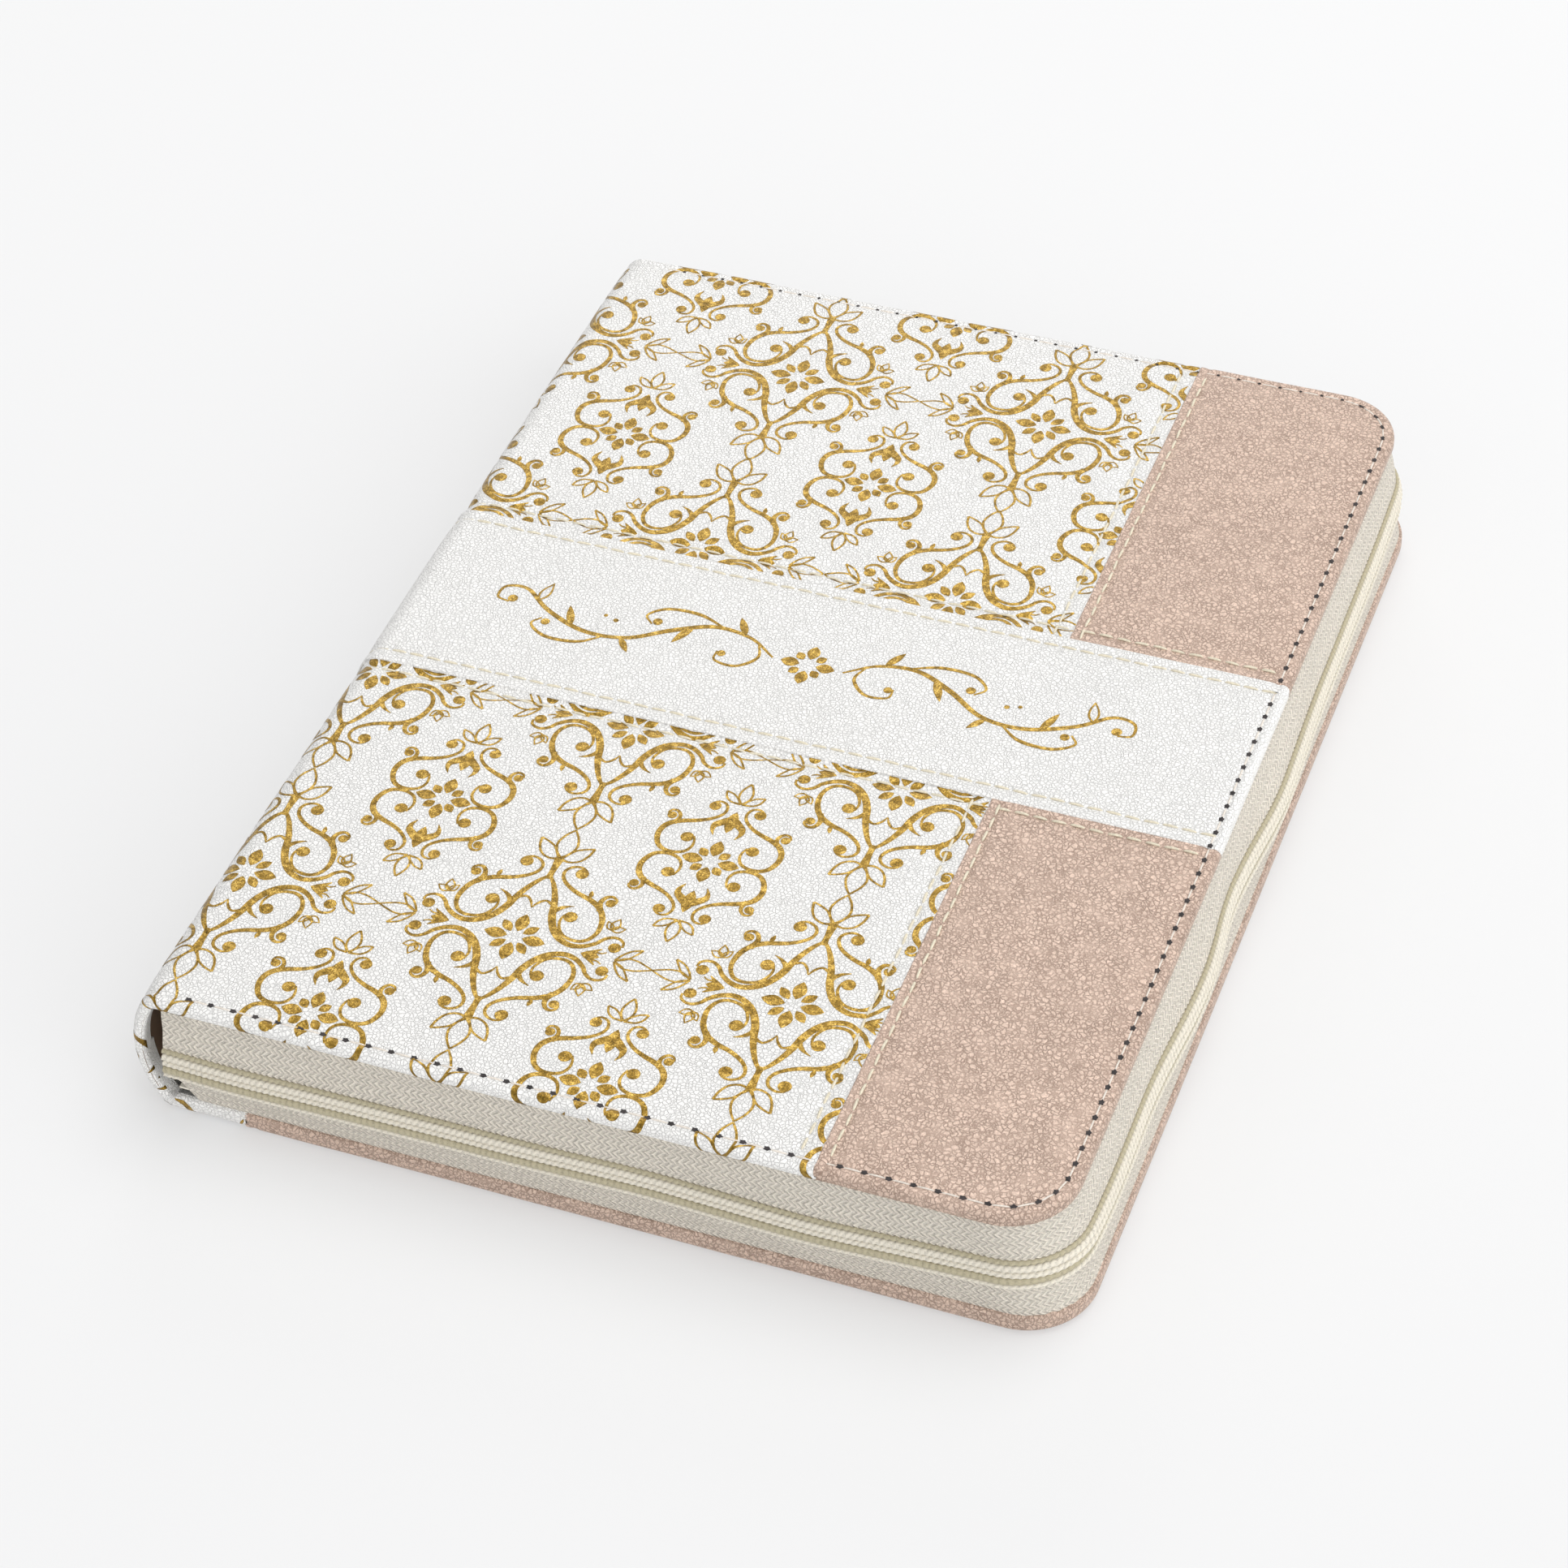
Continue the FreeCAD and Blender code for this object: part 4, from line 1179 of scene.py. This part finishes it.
class Finish(Nodes):
    """A material being made: a principled shader and the nodes that feed it."""

    def __init__(self, name, base, roughness, metallic=0.0, **sockets):
        self.material = bpy.data.materials.get(name) or bpy.data.materials.new(name)
        self.material.use_nodes = True
        super().__init__(self.material.node_tree)
        named = {key.replace("_", " "): value for key, value in sockets.items()}
        self.shader = self.node("ShaderNodeBsdfPrincipled", {
            "Base Color": (*base, 1), "Roughness": roughness, "Metallic": metallic, **named})
        self.out = self.node("ShaderNodeOutputMaterial", {"Surface": self.shader.outputs["BSDF"]})

    def feed(self, socket, source):
        self.tree.links.new(source, self.shader.inputs[socket])

    def coordinates(self, kind, scale=(1, 1, 1)):
        source = self.node("ShaderNodeTexCoord").outputs[kind]
        return self.node("ShaderNodeMapping", {"Vector": source, "Scale": scale}).outputs["Vector"]

    def noise(self, where, scale, detail=2.0, rough=0.5, out="Fac"):
        return self.node("ShaderNodeTexNoise", {
            "Vector": where, "Scale": scale, "Detail": detail, "Roughness": rough}).outputs[out]

    def warped(self, where, scale, by):
        """Coordinates pushed about by a noise."""
        push = self.noise(where, *scale, out="Color")
        return self.node("ShaderNodeVectorMath", {0: push, 1: by, 2: where},
                         operation="MULTIPLY_ADD").outputs["Vector"]

    def cells(self, where, scale):
        """Distance to the edges of the cells of a leather grain."""
        return self.node("ShaderNodeTexVoronoi", {"Vector": where, "Scale": scale, "Randomness": 1.0},
                         feature="DISTANCE_TO_EDGE").outputs["Distance"]

    def split(self, where):
        parts = self.node("ShaderNodeSeparateXYZ", {"Vector": where}).outputs
        return parts["X"], parts["Y"]

    def ramp(self, source, stops):
        """source turned into the levels or colours of stops."""
        made = self.node("ShaderNodeValToRGB", {"Fac": source})
        while len(made.color_ramp.elements) < len(stops):
            made.color_ramp.elements.new(0.5)
        for element, (at, value) in zip(made.color_ramp.elements, stops):
            element.position = at
            element.color = (*value, 1) if isinstance(value, tuple) else (value, value, value, 1)
        return made.outputs["Color"]

    def bump(self, source, distance, strength=1.0):
        made = self.node("ShaderNodeBump", {"Strength": strength, "Distance": distance, "Height": source})
        self.feed("Normal", made.outputs["Normal"])

    def colour(self, source, stops):
        self.feed("Base Color", self.ramp(source, stops))

    def roughness(self, source, stops):
        self.feed("Roughness", self.ramp(source, stops))


def shade(value, by):
    return tuple(c * by for c in value)


def white_leather():
    c = tuple(colours().white)
    f = Finish("white_leather", c, 0.5)
    where = f.coordinates("UV")
    creases = f.ramp(f.cells(f.warped(where, (60, 2), (0.01, 0.01, 0.01)), 150.0), [(0.0, 0.0), (0.12, 1.0)])
    fine = f.noise(where, 420, 3, 0.6)
    height = f.math("MULTIPLY", f.math("MULTIPLY_ADD", fine, 0.7, creases), 0.5)
    f.bump(height, 0.00026, 0.9)
    # colour: a broad random tone, plus painted shade that darkens the crease lines and the low spots of the
    # grain
    cloud = f.math("MULTIPLY_ADD", f.noise(where, 6, 3), 0.35, height)
    f.colour(cloud, [(0.45, shade(c, 0.9)), (0.72, c), (0.9, shade(c, 1.02))])
    f.roughness(fine, [(0.3, 0.44), (0.7, 0.58)])
    return f.material


def rose_leather():
    """Pearl leather: broken cracks in two sizes, painted dark as shade in the creases; fine grain, whose
    brightest specks are painted glints; and a soft gleam.
    """
    c, deep = tuple(colours().rose), tuple(colours().rose_crease_shade)
    f = Finish("rose_leather", c, 0.4, 0.45)
    where = f.coordinates("UV")
    shifted = f.warped(where, (90, 3), (0.016, 0.016, 0.016))
    large, small = (f.ramp(f.cells(shifted, scale), [(0.0, floor), (0.1, (1 + floor) / 2), (0.18, 1.0)])
                    for scale, floor in ((118.0, 0.0), (230.0, 0.6)))
    faded = f.ramp(f.noise(where, 24, 2, 0.6), [(0.4, 0.0), (0.7, 0.4)])
    cracks = f.math("MULTIPLY", f.math("MAXIMUM", large, faded), small)
    fine = f.noise(where, 520, 2, 0.7)
    f.bump(f.math("MULTIPLY_ADD", fine, 0.6, cracks), 0.00014, 0.8)
    # painted shade in the cracks and painted glints on the fine grain, over a broad random tone
    crack_shade_and_glints = f.math("MULTIPLY_ADD", fine, 0.3, f.math("MULTIPLY", cracks, 0.6))
    lit = f.math("MULTIPLY_ADD", f.noise(where, 10, 3, 0.6), 0.16, crack_shade_and_glints)
    f.colour(lit, [(0.22, deep), (0.66, shade(c, 0.88)), (0.85, c), (0.95, shade(c, 1.12))])
    f.roughness(fine, [(0.35, 0.5), (0.65, 0.28)])
    return f.material


def gold_foil():
    c, glint_colour = tuple(colours().gold), tuple(colours().gold_glint)
    f = Finish("gold_foil", c, 0.24, 1.0)
    where = f.coordinates("UV")
    # painted reflection: noise patches and a fine grain colour the foil from dark brown to bright gold, in
    # place of dark and bright reflections; the bump follows the same level
    reflection_patches = f.math("MULTIPLY", f.noise(where, 75, 3, 0.65), 0.75)
    level = f.math("MULTIPLY_ADD", f.noise(where, 330, 2, 0.7), 0.55, reflection_patches)
    f.colour(level, [(0.46, shade(c, 0.4)), (0.64, c), (0.82, glint_colour)])
    f.bump(level, 0.00026, 1.0)
    return f.material


def woven_tape():
    """Herringbone weave: slanted ribs that turn at every wale, with loose fibres."""
    rib, wale = 0.0112, 0.0085
    c = tuple(colours().tape)
    f = Finish("woven_tape", c, 0.85, Sheen_Weight=0.15)
    where = f.coordinates("UV")
    along, across = f.split(f.warped(where, (60, 2), (0.004, 0.003, 0.0)))
    slant = f.math("MULTIPLY", f.math("PINGPONG", across, wale), 1.3)
    ribs = f.math("MULTIPLY", f.math("ADD", along, slant), 2 * math.pi / rib)
    wales = f.math("COSINE", f.math("MULTIPLY", across, 2 * math.pi / wale))
    weave = f.math("MULTIPLY_ADD", wales, 0.2, f.math("SINE", ribs))
    fuzz = f.noise(where, 260, 3, 0.7)
    f.bump(f.math("MULTIPLY_ADD", fuzz, 2.4, weave), 0.00022, 1.0)
    # colour: a random fibre tone, with painted shade in the grooves of the weave and painted highlight on
    # its ribs
    level = f.math("MULTIPLY_ADD", weave, 0.17, fuzz)
    f.colour(level, [(0.2, shade(c, 0.66)), (0.5, c), (0.84, shade(c, 1.16))])
    return f.material


def corded(name, base, rough=0.75, lean=0.0):
    """Twisted or flat cord: the grooves between the plies are painted darker as shade and the plies a little
    lighter as painted highlight, over a random fibre tone; lean says how far they slant.
    """
    f = Finish(name, base, rough, Sheen_Weight=0.1)
    where = f.coordinates("UV")
    along, across = f.split(where)
    slant = f.math("MULTIPLY", across, -lean)
    run = f.math("MULTIPLY_ADD", along, 2 * math.pi * 100 / sizes().cord_pitch, slant)
    fibre = f.noise(where, 300, 3, 0.7)
    # painted shade in the grooves between the plies, painted highlight on the plies
    level = f.math("MULTIPLY_ADD", f.math("COSINE", run), 0.1, fibre)
    f.colour(level, [(0.3, shade(base, 0.68)), (0.5, base), (0.75, shade(base, 1.12))])
    f.bump(fibre, 0.0001, 0.8)
    return f.material


def mottled(name, base, roughness, grain, low, high, bump=None, **sockets):
    """A finish with one fine noise over the object: from the low colour to the high one, and as a bump."""
    f = Finish(name, base, roughness, **sockets)
    fibre = f.noise(f.coordinates("Object"), *grain)
    f.colour(fibre, [(0.3, low), (0.7, high)])
    if bump:
        f.bump(fibre, *bump)
    return f.material


def spun(name, base):
    """Sewing thread."""
    return mottled(name, base, 0.7, (2600, 2, 0.6), shade(base, 0.82), shade(base, 1.12), (0.00006, 0.6),
                   Sheen_Weight=0.1)


# painted shade: near-black marks standing in for the shade inside the needle holes
def needle_hole_shade():
    return mottled("needle_hole_shade", (0.035, 0.03, 0.03), 0.9, (1500, 2),
                   (0.02, 0.018, 0.018), (0.06, 0.05, 0.05))


def grey_board(name, base):
    return mottled(name, base, 0.9, (1200, 3, 0.7), shade(base, 0.8), shade(base, 1.15), (0.00008, 0.6))


def paper(name, scale_z, base):
    """Paper: faint fibres, and the lines of the leaves on a cut edge."""
    f = Finish(name, base, 0.8)
    leaves = f.noise(f.coordinates("Object", (4, 4, scale_z)), 1.0, 2, 0.6)
    level = f.math("MULTIPLY_ADD", f.noise(f.coordinates("Object"), 900, 3, 0.6), 0.3, leaves)
    f.colour(level, [(0.4, shade(base, 0.84)), (0.62, base), (0.85, shade(base, 1.05))])
    f.bump(level, 0.00005, 0.5)
    return f.material


def zip_metal():
    """Brushed yellow metal."""
    c = tuple(colours().metal)
    f = Finish("zip_metal", c, 0.28, 1.0)
    cloud = f.noise(f.coordinates("Object"), 160, 3, 0.6)
    f.colour(cloud, [(0.3, shade(c, 0.85)), (0.7, shade(c, 1.1))])
    f.roughness(cloud, [(0.3, 0.22), (0.7, 0.36)])
    f.bump(f.noise(f.coordinates("Object", (300, 2500, 2500)), 1.0, 2), 0.00002, 0.4)
    return f.material


# ---- baking transforms into the meshes ----

def bend_front(obj):
    """Bakes the object's transform into its mesh; it does not bend it round the spine."""
    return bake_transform(obj)


def bend_back(obj):
    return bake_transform(obj)


def bend(obj, side):
    return bend_front(obj) if side == "front" else bend_back(obj)


# ---- studio ----

def studio_floor():
    """A floor that is seen near its own pale colour, so that the object's shadow on it stays soft."""
    floor_z = cad_low.z - 0.0003
    bpy.ops.object.select_all(action="DESELECT")
    bpy.ops.mesh.primitive_circle_add(vertices=96, radius=6.0, fill_type="NGON", location=(0, 0, floor_z))
    floor = bpy.context.object
    floor.name = "studio_floor"
    c = tuple(colours().floor)
    f = Finish("studio_floor", c, 0.9, Specular_IOR_Level=0.0)
    f.colour(f.noise(f.coordinates("Object"), 1.2, 2), [(0.3, shade(c, 0.99)), (0.7, c)])
    plain = f.node("ShaderNodeEmission", {"Color": (0.915, 0.915, 0.92, 1), "Strength": 1.0})
    both = f.mix(f.math("MULTIPLY", f.seen(), 0.45), f.shader.outputs["BSDF"], plain.outputs["Emission"])
    f.tree.links.new(both, f.out.inputs["Surface"])
    floor.data.materials.append(f.material)
    return floor


def studio_sky():
    """An even sky with a wide soft glow from the fore-edge and a weaker one from the tail."""
    world = bpy.data.worlds.new("studio")
    world.use_nodes = True
    f = Nodes(world.node_tree)
    way = f.node("ShaderNodeTexCoord").outputs["Generated"]
    level = 0.47
    for towards, strength in (((0.92, -0.38, 0.1), 2.6), ((-0.2, -0.97, 0.1), 0.66)):
        facing = f.node("ShaderNodeVectorMath", {0: way, 1: towards}, operation="DOT_PRODUCT")
        glow = f.math("POWER", f.math("MAXIMUM", facing.outputs["Value"], 0.0), 3.0)
        level = f.math("ADD", f.math("MULTIPLY", glow, strength), level)
    sky = f.node("ShaderNodeBackground", {"Color": (1.0, 1.0, 1.0, 1), "Strength": level})
    plain = f.node("ShaderNodeBackground", {"Color": (0.93, 0.93, 0.935, 1)})
    f.node("ShaderNodeOutputWorld", {"Surface": f.mix(f.seen(), sky.outputs[0], plain.outputs[0])})
    return world


def lamp(name, place, size, power, tint):
    """A square lamp that looks at the object."""
    light = bpy.data.lights.new(name, "AREA")
    light.size = size
    light.energy = power
    light.color = tint
    obj = bpy.data.objects.new(name, light)
    obj.location = place
    obj.rotation_mode = "QUATERNION"
    obj.rotation_quaternion = (Vector((0, 0, 0)) - Vector(place)).to_track_quat("-Z", "Y")
    return obj


def eye():
    camera = bpy.data.cameras.new("camera")
    camera.lens = 95.18
    camera.sensor_width = 36
    camera.clip_start, camera.clip_end = 0.01, 50
    obj = bpy.data.objects.new("camera", camera)
    right = Vector((0.93612, 0.34994, -0.03490))
    up = Vector((-0.21591, 0.65023, 0.72841))
    back = Vector((0.27759, -0.67435, 0.68425))
    turned = Matrix((right, up, back)).transposed().to_4x4()
    obj.matrix_world = Matrix.Translation((0.19905, -0.50041, 0.50742)) @ turned
    return obj


# ---- operators ----

class JOURNAL_OT_damask(bpy.types.Operator):
    """Lays the patterned leather over both covers and round the spine"""
    bl_idname = "journal.damask"
    bl_label = "Patterned leather"

    def execute(self, context):
        leather = white_leather()
        for side in ("front", "back"):
            for end in ("tail", "head"):
                obj = pattern_sheet("%s_damask_leather_%s" % (side, end), side, end)
                modifier(obj, "SOLIDIFY", thickness=LEATHER, offset=-1.0)
                smooth(obj, 50)
                paint(obj, leather)
                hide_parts("%s_damask_%s" % (side, end))
                if side == "front":
                    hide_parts("spine_damask_%s" % end)
                bend(obj, side)
        return {"FINISHED"}


class JOURNAL_OT_band(bpy.types.Operator):
    """Lays the plain white band across the covers and the spine"""
    bl_idname = "journal.band"
    bl_label = "White band"

    def execute(self, context):
        leather = white_leather()
        for side in ("front", "back"):
            obj = band_sheet("%s_band_leather" % side, side)
            modifier(obj, "SOLIDIFY", thickness=LEATHER, offset=-1.0)
            smooth(obj, 50)
            paint(obj, leather)
            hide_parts("title_band" if side == "front" else "back_band")
            if side == "front":
                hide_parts("spine_band")
            bend(obj, side)
        return {"FINISHED"}


class JOURNAL_OT_panels(bpy.types.Operator):
    """Lays the pearl leather panels, rounded at the fore-edge"""
    bl_idname = "journal.panels"
    bl_label = "Pearl panels"

    def execute(self, context):
        leather = rose_leather()
        for side, end in (("front", "tail"), ("front", "head"), ("back", "whole")):
            obj = panel_sheet("%s_panel_leather_%s" % (side, end), side, end)
            smooth(obj, 50)
            paint(obj, leather)
            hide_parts("back_panel" if side == "back" else "front_panel_" + end)
            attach(obj, side + "_cover")
        return {"FINISHED"}


class JOURNAL_OT_foil(bpy.types.Operator):
    """Presses the gold damask and the band's divider"""
    bl_idname = "journal.foil"
    bl_label = "Gold foil"

    def execute(self, context):
        gold = gold_foil()
        deep = 4.0 - sizes().edge_radius
        for end in ("tail", "head"):
            motif = lattice(end)
            reach = (TAIL - deep + 0.4, BAND_TAIL) if end == "tail" else (BAND_HEAD, HEAD + deep - 0.4)
            for side in ("front", "back"):
                obj = flat_foil("%s_foil_%s" % (side, end), motif)
                drape_foil(obj, "pattern", side, (MIDDLE, SEAM_U[side]), reach)
                smooth(obj)
                paint(obj, gold)
                bend(obj, side)
        ornament = Motif()
        ornament.put(divider(), 76.0, 2.6)
        obj = flat_foil("band_divider", ornament)
        drape_foil(obj, "band", "front", (MIDDLE, FORE_U["front"] - 5), (BAND_TAIL + 1, BAND_HEAD - 1))
        smooth(obj)
        paint(obj, gold)
        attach(obj, "front_cover")
        return {"FINISHED"}


class JOURNAL_OT_stitches(bpy.types.Operator):
    """Sews the edge rows, with their needle holes, and the seam rows"""
    bl_idname = "journal.stitches"
    bl_label = "Stitches"

    def execute(self, context):
        hole = needle_hole_shade()
        pale = spun("edge_thread", tuple(colours().edge_thread))
        cream = spun("seam_thread", tuple(colours().thread))
        for side in ("front", "back"):
            cover = side + "_cover"
            rows = split_by_piece(edge_line(side), side)
            obj = thread_rows(side + "_edge_threads", rows, 0.17, 0.0, 0.8)
            paint(obj, pale)
            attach(obj, cover)
            obj = hole_rows(side + "_edge_holes", rows, 1.15, 1.0)
            paint(obj, hole)
            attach(obj, cover)
            obj = thread_rows(side + "_band_threads", band_seams(side), 0.22, 0.08, 0.84, 0.1)
            paint(obj, cream)
            bend(obj, side)
            obj = thread_rows(side + "_panel_threads", panel_seams(side), 0.25, 0.1, 0.8, 0.1)
            paint(obj, cream)
            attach(obj, cover)
        return {"FINISHED"}


class JOURNAL_OT_zip(bpy.types.Operator):
    """Weaves both tapes and runs the chain between them"""
    bl_idname = "journal.zip"
    bl_label = "Zip"

    def execute(self, context):
        weave = woven_tape()
        cream = corded("zip_cord", tuple(colours().cord), lean=300.0)
        khaki = corded("zip_coil", tuple(colours().khaki), 0.6)
        for side in ("front", "back"):
            obj = tape_sheet(side + "_woven_tape", side)
            smooth(obj, 60)
            paint(obj, weave)
            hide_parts(side + "_zip_tape")
            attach(obj, side + "_cover")
        for name, z, side, outward, wide, tall, twist, depth, last_leg, finish, node in (
                ("front_coil_line", 15.98, "front", 0.35, 0.42, 0.46, 1, 0.2, 3, khaki, None),
                ("front_cord", 14.76, "front", 0.35, 0.75, 0.74, 2, 0.11, 4, cream, "front_zip_row"),
                ("middle_cord", 13.5, "front", 0.5, 0.72, 0.62, 2, 0.11, 3, cream, None),
                ("back_coil", 12.24, "back", 0.85, 0.6, 0.76, 0, 0.03, 4, khaki, "back_zip_row"),
                ("back_cord", 11.15, "back", 0.95, 0.5, 0.42, 2, 0.15, 3, cream, None)):
            obj = cord(name, z, side, outward, wide, tall, twist, depth, last_leg)
            paint(obj, finish)
            if node:
                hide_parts(node)
            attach(obj, side + "_cover")
        return {"FINISHED"}


class JOURNAL_OT_finishes(bpy.types.Operator):
    """Gives the carried-over CAD parts their finishes"""
    bl_idname = "journal.finishes"
    bl_label = "Carried-over parts"

    def execute(self, context):
        page = paper("pages", 5200, tuple(colours().paper))
        lining = paper("endpapers", 60, shade(tuple(colours().paper), 1.04))
        # the lining's brown is darkened as painted shade of the spine's hollow
        hollow = paper("spine_lining", 60, tuple(colours().hollow))
        board = grey_board("grey_board", (0.42, 0.40, 0.37))
        foam = grey_board("foam", (0.72, 0.71, 0.68))
        mull = grey_board("mull", (0.66, 0.63, 0.56))
        metal = zip_metal()
        finish_of = {"spine_lining": hollow, "signature": page, "flyleaf": lining, "pastedown": lining,
                     "lining": lining, "board": board, "stiffener": board, "foam": foam, "mull": mull,
                     "slider": metal, "stop": metal, "pull": metal}
        for name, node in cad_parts.items():
            if node.hide_render:
                continue
            found = [m for key, m in finish_of.items() if key in name]
            if not found:
                raise RuntimeError("no finish for " + name)
            node.data.materials.clear()
            node.data.materials.append(found[0])
        return {"FINISHED"}


class JOURNAL_OT_stage(bpy.types.Operator):
    """Sets the floor, the soft lights and the camera"""
    bl_idname = "journal.stage"
    bl_label = "Studio"

    def execute(self, context):
        scene = context.scene
        floor = studio_floor()
        scene.world = studio_sky()
        for name, place, size, power, tint in (
                ("key", (0.25, 0.3, 1.12), 0.9, 6.1, (1.0, 0.998, 0.992)),
                ("back", (-0.6, 1.5, 0.75), 0.7, 3.8, (1.0, 0.998, 0.99))):
            scene.collection.objects.link(lamp(name, place, size, power, tint))
        scene.camera = eye()
        scene.collection.objects.link(scene.camera)
        scene.view_settings.view_transform = "Standard"
        return {"FINISHED"}


class JOURNAL_PT_panel(bpy.types.Panel):
    """Sizes, colours and steps of the journal"""
    bl_label = "Prayer journal"
    bl_idname = "JOURNAL_PT_panel"
    bl_space_type = "VIEW_3D"
    bl_region_type = "UI"
    bl_category = "Journal"

    def draw(self, context):
        for group in (context.scene.journal_sizes, context.scene.journal_colours):
            box = self.layout.box()
            for key in group.__annotations__:
                box.prop(group, key)
        for operator in STEPS:
            self.layout.operator(operator.bl_idname)


STEPS = (JOURNAL_OT_stage, JOURNAL_OT_damask, JOURNAL_OT_band, JOURNAL_OT_panels, JOURNAL_OT_foil,
         JOURNAL_OT_stitches, JOURNAL_OT_zip, JOURNAL_OT_finishes)
CLASSES = (JournalSizes, JournalColours, *STEPS, JOURNAL_PT_panel)


def register():
    for cls in CLASSES:
        bpy.utils.register_class(cls)
    bpy.types.Scene.journal_sizes = bpy.props.PointerProperty(type=JournalSizes)
    bpy.types.Scene.journal_colours = bpy.props.PointerProperty(type=JournalColours)


def unregister():
    del bpy.types.Scene.journal_colours
    del bpy.types.Scene.journal_sizes
    for cls in reversed(CLASSES):
        bpy.utils.unregister_class(cls)


def main():
    register()
    bpy.ops.journal.stage()
    bpy.ops.journal.damask()
    bpy.ops.journal.band()
    bpy.ops.journal.panels()
    bpy.ops.journal.foil()
    bpy.ops.journal.stitches()
    bpy.ops.journal.zip()
    bpy.ops.journal.finishes()


if __name__ == "__main__":
    main()
